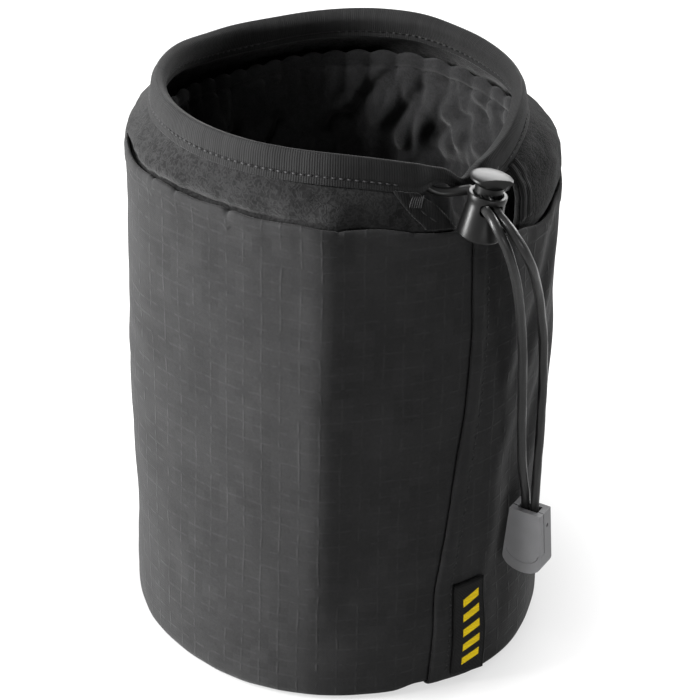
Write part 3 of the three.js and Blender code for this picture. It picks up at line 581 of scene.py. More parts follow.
def rim_top(angle):
    tilt = RIM_TILT * (1 - np.cos(np.radians(angle - RIM_TILT_ANGLE)))
    notch = RIM_NOTCH * nearness(angle, RIM_NOTCH_ANGLE, RIM_NOTCH_SPREAD)
    return sizes().rim_height - tilt - swells(angle, RIM_SAGS) - notch - RIM_DIP * cord_pull(angle)


def seam_angle(height):
    """Angle of the lap's edge: a wavering line with a knee near the floor."""
    at, angle = np.array(SEAM_COURSE).T
    spread = (-0.004, -0.002, 0.0, 0.002, 0.004)
    return sum(np.interp(height + step, at, angle) for step in spread) / len(spread)


def wall_swell(angle, height):
    """How far the soft wall stands off a true cylinder: flattened faces, a crease, a lean and lumps."""
    faces = swells(angle, WALL_SWELLS)
    taper = lerp(-0.0004, -0.0007, np.clip(height / 0.12, 0, 1))
    lean = -0.0003 * np.cos(np.radians(angle)) * height / 0.126
    foot = 0.0004 + 0.0018 * nearness(angle, -40, 19)
    taper = taper + foot * (1 - smooth(height, 0.002, 0.03))
    place = polar(0.05, angle, height)
    uneven = 0.00026 * lumps(place, 3, 0.022, 0.055) + 0.00007 * lumps(place, 4, 0.007, 0.013)
    return faces * smooth(height, 0.004, 0.06) + taper + lean + uneven


def side_folds(angle, height):
    """Slanting soft folds beside the seam."""
    across = 0.866 * np.radians(angle + 25) * 0.05 - 0.5 * (height - 0.085)
    zone = nearness(angle, -22, 17) * hump(height, 0.082, 0.036)
    wave = np.sin(2 * np.pi * across / 0.017 + 0.6) + 0.5 * np.sin(2 * np.pi * across / 0.0093 + 2.0)
    return 0.00055 * zone * wave


def hem_puckers(angle, below):
    """Pinches that the hem's stitching draws: narrow at the stitches, fanning out above and below."""
    rng = np.random.default_rng(21)
    places = [(rng.uniform(-180, 180), rng.uniform(0.15, 0.55)) for _ in range(26)]
    total = np.zeros(np.broadcast(angle, below).shape)
    width = 0.75 + 420 * np.abs(below - 0.0034)
    for centre, strength in places:
        off = wrapped(angle - centre) / width
        total += strength * (0.45 * hump(np.abs(off), 1.9, 1.0) - hump(off, 0.0, 1.0))
    return total * hump(below, 0.0032, 0.0034) - 0.6 * hem_notches(angle) * hump(below, 0.0, 0.0017)


def hem_notches(angle):
    """Small pleats in the hem's edge."""
    off = lambda centre: np.abs(wrapped(angle - centre))
    return sum(strength * np.exp(-((off(centre) / 0.9) ** 1.4)) for centre, strength in HEM_PINCHES)


def hem_line(angle):
    """How far below the hem's edge its turned-in cloth ends: a wavering line, lower at the pleats."""
    turn = np.radians(angle)
    waver = 0.4 * np.sin(9 * turn + 0.7) + 0.35 * np.sin(23 * turn + 2.1) + 0.25 * np.sin(41 * turn)
    return HEM_LINE + 0.0006 * waver + 0.0005 * hem_notches(angle)


def lap_lift(travel):
    lap_end = SEAM_OVERLAP + SEAM_MARGIN
    return (sizes().shell_cloth + LAYER_GAP) * (1 - smooth(travel, lap_end, lap_end + SEAM_RAMP))


def lap_press(height):
    """Share of the lap's lift that is left: the seam of the base presses its foot flat."""
    return 0.12 + 0.88 * smooth(height, 0.001, 0.018)


def shell_place(travel, share, drop, depth):
    """Point of the wall sheet by its travel from the lap's edge, share of the height, drop and depth."""
    size = sizes()
    angle = seam_angle(share * size.shell_height - drop) + np.degrees(travel / size.body_radius)
    top = hem_top(angle)
    height = share * top - drop
    below = top - height
    girth = 2 * np.pi * size.body_radius
    under = smooth(travel, girth - SEAM_RAMP, girth - SEAM_MARGIN)
    line = hem_line(angle)
    roll = 0.00014 * (1 - smooth(below, line, line + 0.0007))
    roll = roll + HEM_RIDGE * hump(below, line, 0.0004)
    flare = 0.00045 * (1 - smooth(below, 0, 0.007)) * (0.5 + 0.5 * np.sin(np.radians(4 * angle + 190)))
    pucker = size.hem_pucker * hem_puckers(angle, below)
    edge = 0.00035 * np.sin(np.pi * np.clip(travel / SEAM_STITCH, 0, 1))
    edge -= 0.0003 * hump(travel, SEAM_STITCH, 0.0007)
    radius = size.body_radius + wall_swell(angle, height)
    radius = radius + side_folds(angle, height) * smooth(travel, 0.004, 0.012)
    press = lap_press(height)
    radius += lap_lift(travel) * press - (size.shell_cloth + LAYER_GAP) * (1 - press) * under
    radius += edge * press + (roll + flare + pucker) * (1 - under)
    return polar(radius - depth, angle, height)


def shell_columns():
    girth = 2 * np.pi * sizes().body_radius + SEAM_OVERLAP
    near = np.array([0, 0.00008, 0.0002, 0.0004, 0.0007, 0.0011])
    top = seam_angle(sizes().shell_height)
    pleats = [np.radians((centre - top) % 360) * sizes().body_radius for centre, _ in HEM_PINCHES]
    fine = [place + step for place in pleats for step in np.arange(-0.0018, 0.0019, 0.0003)]
    clear = lambda at: np.abs(np.array(pleats) - at).min() > 0.0021
    even = [at for at in np.linspace(0.0016, girth - 0.001, 330) if clear(at)]
    return np.concatenate([near, np.sort(even + fine), [girth - 0.0004, girth]])


def slit_left(share):
    return lerp(SLIT_LEFT_BOTTOM, SLIT_LEFT_TOP, share)


def slit_right(share):
    return lerp(SLIT_RIGHT_BOTTOM, SLIT_RIGHT_TOP, share)


def tape_height(angle):
    from_left = smooth(wrapped(angle - slit_left(GRIP_FROM)) / TAPE_NARROWING_LEFT)
    from_right = smooth(-wrapped(angle - slit_right(GRIP_FROM)) / TAPE_NARROWING_RIGHT)
    return lerp(sizes().tape_width, TAPE_BRIDGE, np.minimum(from_left, from_right))


def tape_point(angle, across, up):
    lean = math.radians(TAPE_LEAN)
    base = rim_top(angle) - tape_height(angle) * math.cos(lean)
    radius = rim_radius(angle) + across * math.cos(lean) - up * math.sin(lean)
    return polar(radius, angle, base + across * math.sin(lean) + up * math.cos(lean))


def collar_line(angle, share):
    """(radius, height) of the middle of the collar cloth."""
    size = sizes()
    upright = size.body_radius - size.shell_cloth - LAYER_GAP - size.collar_cloth / 2
    low, knee = size.shell_height - COLLAR_TUCK, size.shell_height - COLLAR_KNEE_DROP
    seat = tape_point(angle, 0, 0)
    seat_radius, seat_height = np.hypot(seat[..., 0], seat[..., 1]), seat[..., 2]
    s = np.clip((share - DOME_FROM) / (GRIP_FROM - DOME_FROM), 0, 1)
    pull_radius, pull_height = upright + COLLAR_PUFF, lerp(knee, seat_height, COLLAR_DOME)
    radius = (1 - s) ** 2 * upright + 2 * s * (1 - s) * pull_radius + s * s * seat_radius
    height = (1 - s) ** 2 * knee + 2 * s * (1 - s) * pull_height + s * s * seat_height
    height = np.where(share < DOME_FROM, lerp(low, knee, share / DOME_FROM), height)
    grip = tape_point(angle, 0, TAPE_GRIP * np.clip((share - GRIP_FROM) / (1 - GRIP_FROM), 0, 1))
    held = share > GRIP_FROM
    radius = np.where(held, np.hypot(grip[..., 0], grip[..., 1]), radius)
    height = np.where(held, grip[..., 2], height)
    free = 1 - smooth(share, 0.35, 0.8)
    drawn = np.sin(np.pi * np.clip((share - 0.12) / 0.72, 0, 1))
    radius = radius + (wall_swell(angle, height) + np.minimum(side_folds(angle, height), 0)) * free
    radius = radius - drawn * swells(angle, COLLAR_HOLLOWS)
    radius = radius - drawn * 0.0016 * nearness(angle, 24, 40) * smooth(share, 0.3, 0.65)
    above = height - hem_top(angle)
    bulge = swells(angle, COLLAR_SIDES) * smooth(above, -0.001, 0.0028) * (1 - smooth(share, 0.45, 0.8))
    gap = 0.0008 * nearness(angle, -124, 42) * hump(above, 0.0, 0.0011)
    return radius + bulge - gap, height


def collar_place(angle, share, depth):
    step = 0.01
    r0, z0 = collar_line(angle, np.clip(share - step, 0, 1))
    r1, z1 = collar_line(angle, np.clip(share + step, 0, 1))
    radius, height = collar_line(angle, share)
    span = np.hypot(r1 - r0, z1 - z0) + 1e-12
    place = polar(radius + (z1 - z0) / span * depth, angle, height - (r1 - r0) / span * depth)
    soft = np.sin(np.pi * np.clip(share / GRIP_FROM, 0, 1))
    puff = soft * (0.00032 * lumps(place, 31, 0.009, 0.022) + 0.0001 * lumps(place, 32, 0.003, 0.006))
    return place + polar(puff, angle, 0.0)


def lining_place(angle, share, depth):
    """Gathered inner cloth: plain at the floor, crumpled above, drawn into small puffs at its top edge."""
    size = sizes()
    wander = 60 * np.sin(np.radians(3 * angle)) + 40 * np.sin(np.radians(2 * angle + 75))
    puffs = np.abs(np.sin(np.radians((46 * angle + 2.2 * wander) / 2)))
    top = rim_top(angle) - LINING_DROP - 0.0008 + 0.0009 * puffs - 0.004 * nearness(angle, -50, 22)
    height = lerp(LINING_BASE, top, share)
    drift = 40 * np.sin(share * 4.0 + np.radians(2 * angle))
    drift = drift + 25 * np.sin(share * 9.0 + np.radians(5 * angle))
    large = np.abs(np.sin(np.radians((13 * angle + wander + drift) / 2)))
    place = polar(LINING_RADIUS, angle, height)
    lump = np.minimum(np.abs(lumps(place, 41, 0.014, 0.03)), 1.3)
    crumple = np.minimum(np.abs(lumps(place, 43, 0.006, 0.013)), 1.3)
    casing = smooth(top - height, 0.0030, 0.0042)
    swell = smooth(share, 0.25, 0.7) * casing * (0.35 + 0.65 * smooth(top - height, 0.004, 0.016))
    fold = swell * (0.28 * large + 0.56 * lump + 0.24 * crumple)
    band = (1 - casing) * (0.16 + 0.16 * puffs * np.sqrt(np.clip((top - height) / 0.003, 0, 1)))
    ruffle = 0.16 * puffs * casing * (1 - smooth(top - height, 0.004, 0.011))
    tuck = 0.10 * hump(top - height, GATHER_DROP, 0.0006)
    inward = size.lining_fold * np.clip(fold + band + ruffle - tuck, 0, 1.1)
    return polar(LINING_RADIUS - inward - depth, angle, height)


# Frames of the lock and the cord end


def lock_frame():
    place = Matrix.Translation(Vector(polar(LOCK_REACH, LOCK_ANGLE, LOCK_HEIGHT).tolist()))
    turn = Matrix.Rotation(math.radians(LOCK_FACING), 4, "Z")
    lean = Matrix.Rotation(math.radians(-LOCK_LEAN), 4, "X")
    return place @ (turn @ lean)


def end_frame():
    place = Matrix.Translation(lock_frame().translation + Vector(END_PLACE))
    return place @ Matrix.Rotation(math.radians(END_FACING), 4, "Z")


def placed(matrix, point):
    return np.array(matrix @ Vector(point))


def tail_route(side, course):
    lock, end = lock_frame(), end_frame()
    strand = side * STRAND_OFFSET
    middle = np.array(lock.translation)
    route = [placed(lock, (STRAND_FRONT + LAYER_GAP, strand, 0))]
    route += [middle + np.array(place) for place in course]
    route += [placed(end, (strand, 0, 0)), placed(end, (strand, 0, -END_CHANNEL))]
    return smooth_route(route)


def loop_route():
    lock, size = lock_frame(), sizes()
    lock_end = lambda side, back: placed(lock, (-STRAND_FRONT - LAYER_GAP - back, side * STRAND_OFFSET, 0))
    link = lambda at: polar(size.rim_radius + at[0], at[1], size.rim_height + at[2])
    radius = size.cord_diameter / 2
    first, last = SLIT_LEFT_TOP - 5, SLIT_RIGHT_TOP + 5 - 360
    count = round((first - last) / 10)
    angles = np.linspace(first, last, count + 1)
    fold = [tape_point(a, 0.0, tape_height(a) - TAPE_SPREAD / 2) for a in angles]
    route = [lock_end(-1, 0), lock_end(-1, radius)]
    route += [link(at) for at in reversed(LINK_LEFT)] + fold + [link(at) for at in LINK_RIGHT]
    return smooth_route(route + [lock_end(1, radius), lock_end(1, 0)])


# Materials


def put(tree, kind, inputs=None, **settings):
    node = tree.nodes.new(kind)
    for key, value in settings.items():
        setattr(node, key, value)
    for key, value in (inputs or {}).items():
        if isinstance(value, bpy.types.NodeSocket):
            tree.links.new(value, node.inputs[key])
        else:
            node.inputs[key].default_value = value
    return node


def sums(tree, operation, first, second=0.0, third=0.0):
    return put(tree, "ShaderNodeMath", {0: first, 1: second, 2: third}, operation=operation).outputs[0]


def mixture(tree, *shares):
    """Sum of values, each times its share."""
    total, *rest = [sums(tree, "MULTIPLY", value, share) for value, share in shares]
    for part in rest:
        total = sums(tree, "ADD", total, part)
    return total


def remap(tree, value, low, high, least=0.0, most=1.0):
    """Value taken from one range to another and held at its ends."""
    return put(tree, "ShaderNodeMapRange", {0: value, 1: low, 2: high, 3: least, 4: most}).outputs[0]


def span(tree, value, low, high):
    return remap(tree, value, 0.0, 1.0, low, high)


def noise(tree, at, scale, detail, twist=0.0):
    inputs = {"Vector": at, "Scale": scale, "Detail": detail, "Distortion": twist}
    return put(tree, "ShaderNodeTexNoise", inputs).outputs["Fac"]


def seen(tree):
    """One where a ray shows the thing itself: from the camera, mirrored or through a clear piece."""
    path = put(tree, "ShaderNodeLightPath").outputs
    direct = sums(tree, "MAXIMUM", path["Is Camera Ray"], path["Is Glossy Ray"])
    return sums(tree, "MAXIMUM", direct, path["Is Transmission Ray"])


def effect(name, takes, gives):
    """Empty node group with named float inputs and outputs."""
    tree = bpy.data.node_groups.new(name, "ShaderNodeTree")
    for label, value in takes.items():
        socket = tree.interface.new_socket(label, in_out="INPUT", socket_type="NodeSocketFloat")
        socket.default_value = value
    for label in gives:
        tree.interface.new_socket(label, in_out="OUTPUT", socket_type="NodeSocketFloat")
    return tree, tree.nodes.new("NodeGroupInput").outputs, tree.nodes.new("NodeGroupOutput").inputs


def group(tree, name, inputs=None):
    return put(tree, "ShaderNodeGroup", inputs, node_tree=bpy.data.node_groups[name]).outputs


def make_round_coordinates():
    """Distance round the pouch's axis and height."""
    tree, takes, gives = effect("Round coordinates", {"Radius": 0.05}, ("Along", "Up"))
    at = put(tree, "ShaderNodeTexCoord").outputs["Object"]
    x, y, z = put(tree, "ShaderNodeSeparateXYZ", {0: at}).outputs
    turn = sums(tree, "ARCTAN2", y, x)
    tree.links.new(sums(tree, "MULTIPLY", turn, takes["Radius"]), gives["Along"])
    tree.links.new(z, gives["Up"])


def make_ripstop():
    """Grid of doubled threads over a plain weave."""
    takes = {"Along": 0.0, "Up": 0.0, "Across spacing": 0.0047, "Up spacing": 0.0042, "Thread": 0.00042}
    tree, takes, gives = effect("Ripstop weave", takes, ("Line", "Cell", "Height"))
    at = put(tree, "ShaderNodeTexCoord").outputs["Object"]
    sway = sums(tree, "MULTIPLY", sums(tree, "SUBTRACT", noise(tree, at, 90.0, 2.0), 0.5), 0.0011)
    lines, cells, threads = [], [], []
    for along, spacing in (("Along", "Across spacing"), ("Up", "Up spacing")):
        place = sums(tree, "DIVIDE", sums(tree, "ADD", takes[along], sway), takes[spacing])
        off = sums(tree, "ABSOLUTE", sums(tree, "SUBTRACT", sums(tree, "FRACT", place), 0.5))
        away = sums(tree, "MULTIPLY", off, takes[spacing])
        lines.append(sums(tree, "SUBTRACT", 1.0, sums(tree, "DIVIDE", away, takes["Thread"])))
        cells.append(sums(tree, "FLOOR", place))
        threads.append(sums(tree, "SINE", sums(tree, "MULTIPLY", takes[along], 2 * math.pi / WEAVE_PITCH)))
    line = sums(tree, "MAXIMUM", sums(tree, "MAXIMUM", lines[0], lines[1]), 0.0)
    broken = remap(tree, noise(tree, at, 420.0, 1.0), 0.38, 0.60)
    line = sums(tree, "MULTIPLY", line, broken)
    spot = put(tree, "ShaderNodeCombineXYZ", {0: cells[0], 1: cells[1]}).outputs[0]
    tone = put(tree, "ShaderNodeTexWhiteNoise", {"Vector": spot}, noise_dimensions="3D").outputs["Value"]
    weave = sums(tree, "MULTIPLY", threads[0], threads[1])
    height = sums(tree, "ADD", line, sums(tree, "MULTIPLY", weave, 0.16))
    tree.links.new(line, gives["Line"])
    tree.links.new(tone, gives["Cell"])
    tree.links.new(height, gives["Height"])


def make_fuzz():
    """Tangled short fibres: a soft mottle, a fine pile and curls."""
    takes = {"Mottle size": 0.004, "Fibre size": 0.0006}
    tree, takes, gives = effect("Fibre fuzz", takes, ("Mottle", "Pile", "Curl"))
    at = put(tree, "ShaderNodeTexCoord").outputs["Object"]
    kinds = (("Mottle", "Mottle size", 3.0, 0.4), ("Pile", "Fibre size", 4.0, 1.6))
    for label, size, detail, twist in kinds:
        scale = sums(tree, "DIVIDE", 1.0, takes[size])
        tree.links.new(noise(tree, at, scale, detail, twist), gives[label])
    strands = noise(tree, at, sums(tree, "DIVIDE", 0.5, takes["Fibre size"]), 2.0, 0.8)
    off = sums(tree, "ABSOLUTE", sums(tree, "SUBTRACT", strands, 0.5))
    tree.links.new(remap(tree, off, 0.11, 0.0), gives["Curl"])


def make_ribs():
    """Crosswise ribs of a woven tape, each a little different."""
    tree, takes, gives = effect("Tape ribs", {"Along": 0.0, "Spacing": 0.0007}, ("Rib", "Tone"))
    place = sums(tree, "DIVIDE", takes["Along"], takes["Spacing"])
    wave = sums(tree, "SINE", sums(tree, "MULTIPLY", place, 2 * math.pi))
    spot = put(tree, "ShaderNodeCombineXYZ", {0: sums(tree, "FLOOR", place)}).outputs[0]
    tone = put(tree, "ShaderNodeTexWhiteNoise", {"Vector": spot}, noise_dimensions="3D").outputs["Value"]
    tree.links.new(sums(tree, "MULTIPLY_ADD", wave, 0.5, 0.5), gives["Rib"])
    tree.links.new(tone, gives["Tone"])


def make_scuffs():
    """Handling marks of moulded plastic: faint grain and rubbed patches."""
    tree, takes, gives = effect("Scuffs", {"Patch size": 0.004, "Grain size": 0.00022}, ("Rubbed", "Grain"))
    at = put(tree, "ShaderNodeTexCoord").outputs["Object"]
    for label, size, detail in (("Rubbed", "Patch size", 5.0), ("Grain", "Grain size", 2.0)):
        scale = sums(tree, "DIVIDE", 1.0, takes[size])
        tree.links.new(noise(tree, at, scale, detail), gives[label])


def finish_material(name, **constants):
    material = bpy.data.materials.new(name)
    material.use_nodes = True
    shader = material.node_tree.nodes["Principled BSDF"]
    for key, value in constants.items():
        shader.inputs[key.replace("_", " ")].default_value = value
    return material, material.node_tree, shader.inputs


def shade(tree, base, dark, light, mask):
    """Base colour made darker and lighter by a mask."""
    ramp = span(tree, mask, dark, light)
    tone = put(tree, "ShaderNodeCombineXYZ", {0: ramp, 1: ramp, 2: ramp}).outputs[0]
    inputs = {"Factor": 1.0, 6: (*base, 1.0), 7: tone}
    return put(tree, "ShaderNodeMix", inputs, data_type="RGBA", blend_type="MULTIPLY").outputs[2]


def dress(tree, shader, tone, rough, height, distance, strength):
    """Colour, roughness and fine relief of a finish."""
    bump = put(tree, "ShaderNodeBump", {"Height": height, "Distance": distance, "Strength": strength})
    for value, socket in ((tone, "Base Color"), (rough, "Roughness"), (bump.outputs[0], "Normal")):
        tree.links.new(value, shader[socket])


def make_ripstop_material(name, is_round):
    _, tree, shader = finish_material(
        name, Sheen_Weight=0.1, Sheen_Roughness=0.4, Specular_IOR_Level=0.01
    )
    size = sizes()
    if is_round:
        along, up = group(tree, "Round coordinates", {"Radius": size.body_radius})
    else:
        at = put(tree, "ShaderNodeTexCoord").outputs["Object"]
        along, up, _ = put(tree, "ShaderNodeSeparateXYZ", {0: at}).outputs
    line, cell, height = group(
        tree, "Ripstop weave",
        {"Along": along, "Up": up, "Across spacing": size.grid_across, "Up spacing": size.grid_up},
    )
    mottle, pile, _ = group(tree, "Fibre fuzz", {"Mottle size": 0.018, "Fibre size": 0.0009})
    mask = mixture(tree, (line, 0.20), (cell, 0.14), (mottle, 0.30), (pile, 0.48))
    tone = shade(tree, colours().ripstop, 0.55, 1.7, mask)
    rough = sums(tree, "SUBTRACT", span(tree, mottle, 0.5, 0.62), sums(tree, "MULTIPLY", line, 0.08))
    raised = sums(tree, "ADD", height, sums(tree, "MULTIPLY", pile, 0.6))
    dress(tree, shader, tone, rough, raised, 0.00009, 0.85)


def make_fuzzy_material(name, base, mottle_size, fibre_size, dark, light, depth, sheen, curled):
    _, tree, shader = finish_material(
        name, Sheen_Weight=sheen, Sheen_Roughness=0.5, Specular_IOR_Level=0.02
    )
    mottle, pile, curl = group(tree, "Fibre fuzz", {"Mottle size": mottle_size, "Fibre size": fibre_size})
    mask = mixture(tree, (mottle, 0.4), (pile, 0.6 - curled), (curl, curled))
    tone = shade(tree, base, dark, light, remap(tree, mask, 0.3, 0.7))
    dress(tree, shader, tone, span(tree, pile, 0.82, 1.0), mask, depth, 0.9)


def make_ribbed_material(name, base, spacing):
    _, tree, shader = finish_material(
        name, Sheen_Weight=0.12, Sheen_Roughness=0.4, Specular_IOR_Level=0.02
    )
    along, _ = group(tree, "Round coordinates", {"Radius": sizes().rim_radius})
    rib, tone = group(tree, "Tape ribs", {"Along": along, "Spacing": spacing})
    mottle, pile, _ = group(tree, "Fibre fuzz", {"Mottle size": 0.006, "Fibre size": 0.0005})
    mask = mixture(tree, (rib, 0.15), (tone, 0.25), (mottle, 0.4))
    raised = sums(tree, "ADD", rib, sums(tree, "MULTIPLY", pile, 0.9))
    rough = span(tree, mottle, 0.68, 0.85)
    dress(tree, shader, shade(tree, base, 0.6, 1.4, mask), rough, raised, 0.00007, 0.8)


def make_plastic_material(name, base, low, high, gloss):
    _, tree, shader = finish_material(name, Specular_IOR_Level=gloss)
    rubbed, grain = group(tree, "Scuffs")
    tone = shade(tree, base, 0.85, 1.15, rubbed)
    dress(tree, shader, tone, span(tree, rubbed, low, high), grain, 0.00001, 0.5)


def make_cord_material(name, base, low, high, fibre):
    _, tree, shader = finish_material(
        name, Sheen_Weight=0.05, Sheen_Roughness=0.4, Specular_IOR_Level=0.2
    )
    mottle, pile, _ = group(tree, "Fibre fuzz", {"Mottle size": 0.0016, "Fibre size": fibre})
    tone = shade(tree, base, 0.7, 1.3, pile)
    dress(tree, shader, tone, span(tree, mottle, low, high), pile, 0.00006, 0.8)


def make_steel_material():
    _, tree, shader = finish_material("Spring steel", Metallic=1.0)
    rubbed, grain = group(tree, "Scuffs", {"Patch size": 0.0012})
    tone = shade(tree, colours().steel, 0.8, 1.1, rubbed)
    dress(tree, shader, tone, span(tree, rubbed, 0.22, 0.38), grain, 0.000004, 0.4)


def make_tab_material():
    """Black satin tab with plain slanted bars woven in it."""
    _, tree, shader = finish_material("Woven tab", Sheen_Weight=0.05, Specular_IOR_Level=0.05)
    along, up = group(tree, "Round coordinates", {"Radius": sizes().body_radius})
    across = sums(tree, "SUBTRACT", along, math.radians(TAG_ANGLE) * sizes().body_radius)
    across = sums(tree, "SUBTRACT", across, BAR_MIDDLE)
    band = remap(tree, sums(tree, "ABSOLUTE", across), BAR_HALF, BAR_HALF - 0.0002)
    lean = sums(tree, "MULTIPLY_ADD", across, -BAR_SLANT, up)
    lean = sums(tree, "SUBTRACT", lean, TAG_BASE + TAG_HEIGHT / 2)
    slant = sums(tree, "FRACT", sums(tree, "MULTIPLY_ADD", lean, 1 / BAR_PITCH, BAR_COUNT / 2))
    bar = remap(tree, sums(tree, "ABSOLUTE", sums(tree, "SUBTRACT", slant, 0.5)), 0.27, 0.23)
    inside = sums(tree, "LESS_THAN", sums(tree, "ABSOLUTE", lean), BAR_PITCH * BAR_COUNT / 2)
    stripe = sums(tree, "MULTIPLY", sums(tree, "MULTIPLY", band, bar), inside)
    rib, tone = group(tree, "Tape ribs", {"Along": up, "Spacing": 0.00042})
    mask = mixture(tree, (rib, 0.5), (tone, 0.5))
    ground = shade(tree, colours().tab, 0.6, 1.5, mask)
    bright = shade(tree, colours().stripe, 0.75, 1.1, mask)
    mix = put(tree, "ShaderNodeMix", {"Factor": stripe, 6: ground, 7: bright}, data_type="RGBA")
    dress(tree, shader, mix.outputs[2], span(tree, tone, 0.5, 0.7), rib, 0.00008, 0.8)


def make_materials():
    for make in (make_round_coordinates, make_ripstop, make_fuzz, make_ribs, make_scuffs):
        make()
    tone = colours()
    make_ripstop_material("Ripstop wall", True)
    make_ripstop_material("Ripstop base", False)
    make_fuzzy_material(
        "Fleece", tone.fleece, mottle_size=0.0017, fibre_size=0.00058,
        dark=0.55, light=1.45, depth=0.0002, sheen=0.1, curled=0.28,
    )
    make_fuzzy_material(
        "Brushed lining", tone.lining, mottle_size=0.004, fibre_size=0.0007,
        dark=0.55, light=1.45, depth=0.00022, sheen=0.2, curled=0.08,
    )
    make_fuzzy_material(
        "Foam", tone.foam, mottle_size=0.004, fibre_size=0.0009,
        dark=0.6, light=1.3, depth=0.0003, sheen=0.0, curled=0.0,
    )
    make_ribbed_material("Ribbed tape", tone.tape, spacing=RIB_PITCH)
    make_ribbed_material("Slit tape", tone.facing, spacing=RIB_PITCH)
    make_cord_material("Cord", tone.cord, low=0.27, high=0.38, fibre=0.0005)
    make_cord_material("Thread", tone.thread, low=0.6, high=0.8, fibre=0.00018)
    make_cord_material("Tape thread", tone.tape_thread, low=0.6, high=0.8, fibre=0.00018)
    make_plastic_material("Lock plastic", tone.lock, low=0.33, high=0.41, gloss=0.18)
    make_plastic_material("Cord end plastic", tone.cord_end, low=0.42, high=0.55, gloss=0.2)
    make_steel_material()
    make_tab_material()


def made(name):
    return bpy.data.materials[name]


# Making steps


class POUCH_OT_stage(Operator):
    """Camera at the photograph's view, soft light from the left, pale floor"""

    bl_idname = "pouch.stage"
    bl_label = "Stage"

    def execute(self, context):
        scene = context.scene
        scene.view_settings.view_transform = "Standard"
        lens = bpy.data.cameras.new("View")
        lens.lens, lens.sensor_width, lens.clip_start = CAMERA_LENS, SENSOR_WIDTH, CAMERA_NEAR
        camera = bpy.data.objects.new("View", lens)
        aim = Matrix.Rotation(CAMERA_YAW, 4, "Z") @ Matrix.Rotation(math.pi / 2 - CAMERA_PITCH, 4, "X")
        camera.matrix_world = Matrix.Translation(CAMERA_PLACE) @ aim @ Matrix.Rotation(CAMERA_ROLL, 4, "Z")
        scene.collection.objects.link(camera)
        scene.camera = camera
        for lamp in LAMPS:
            self.light(scene, *lamp)
        self.world(scene)
        self.floor()
        return {"FINISHED"}

    def light(self, scene, name, place, size, power):
        lamp = bpy.data.lights.new(name, "AREA")
        lamp.shape, lamp.size, lamp.energy = "DISK", size, power
        item = bpy.data.objects.new(name, lamp)
        item.location = place
        item.rotation_euler = (Vector(LAMP_AIM) - Vector(place)).to_track_quat("-Z", "Y").to_euler()
        scene.collection.objects.link(item)

    def world(self, scene):
        world = bpy.data.worlds.new("Studio")
        world.use_nodes = True
        tree = world.node_tree
        tree.nodes.clear()
        dim = put(tree, "ShaderNodeBackground", {"Color": (1, 1, 1, 1), "Strength": WORLD_LIGHT})
        white = put(tree, "ShaderNodeBackground", {"Color": (1, 1, 1, 1), "Strength": WORLD_SEEN})
        mix = put(tree, "ShaderNodeMixShader", {0: seen(tree), 1: dim.outputs[0], 2: white.outputs[0]})
        out = put(tree, "ShaderNodeOutputWorld")
        tree.links.new(mix.outputs[0], out.inputs[0])
        scene.world = world

    def floor(self):
        material, tree, shader = finish_material("Studio floor", Roughness=0.8, Specular_IOR_Level=0.1)
        grain = put(tree, "ShaderNodeTexNoise", {"Scale": 60.0, "Detail": 3.0}).outputs["Fac"]
        tree.links.new(shade(tree, colours().floor, 0.985, 1.015, grain), shader["Base Color"])
        shader["Emission Strength"].default_value = 1.0
        place = put(tree, "ShaderNodeNewGeometry").outputs["Position"]
        away = put(tree, "ShaderNodeVectorMath", {0: place}, operation="LENGTH").outputs["Value"]
        glow = remap(tree, away, FLOOR_NEAR_REACH, FLOOR_FAR_REACH, FLOOR_NEAR, FLOOR_FAR)
        tree.links.new(sums(tree, "MULTIPLY", seen(tree), glow), shader["Emission Color"])
        ways = ((-1, -1), (1, -1), (1, 1), (-1, 1))
        corners = [(FLOOR_SIZE * x, FLOOR_SIZE * y, FLOOR_LEVEL) for x, y in ways]
        add_mesh("studio_floor", corners, [(0, 1, 2, 3)], material)


class POUCH_OT_cords(Operator):
    """Drawcord in the casing, its strands in the lock, and the two free tails"""

    bl_idname = "pouch.cords"
    bl_label = "Drawcord"

    def execute(self, context):
        radius = sizes().cord_diameter / 2
        lock = lock_frame()
        self.tails(radius, lock)
        self.loop(radius, lock)
        for side, name in ((-1, "left"), (1, "right")):
            reach = STRAND_FRONT + 2 * LAYER_GAP
            ends = [placed(lock, (x, side * STRAND_OFFSET, 0)) for x in (-reach, reach)]
            line = along_route(np.array(ends), np.linspace(0, 2 * reach, 30))
            strand = tube_mesh(
                f"grip_strand_{name}", line, radius * CORD_GRIPPED, CORD_SIDES, made("Cord"), CORD_BRAID
            )
            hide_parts(f"drawcord_grip_{name}")
            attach(strand, "lock")
        return {"FINISHED"}

    def tails(self, radius, lock):
        for side, name, course in ((-1, "left", TAIL_LEFT), (1, "right", TAIL_RIGHT)):
            route = tail_route(side, course)
            total = run_length(route)[-1]
            line = along_route(route, np.linspace(0, total, 300))
            tail = tube_mesh(f"cord_tail_{name}", line, radius, CORD_SIDES, made("Cord"), CORD_BRAID)
            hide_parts(f"tail_{name}")
            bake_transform(tail)

    def loop(self, radius, lock):
        route = loop_route()
        total = run_length(route)[-1]
        free = 0.03
        places = graded((0, free, 90), (free, total - free, 220), (total - free, total, 90))
        line = along_route(route, places)
        loop = tube_mesh("drawcord", line, radius, CORD_SIDES, made("Cord"), CORD_BRAID)
        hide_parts("drawcord_loop")
        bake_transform(loop)


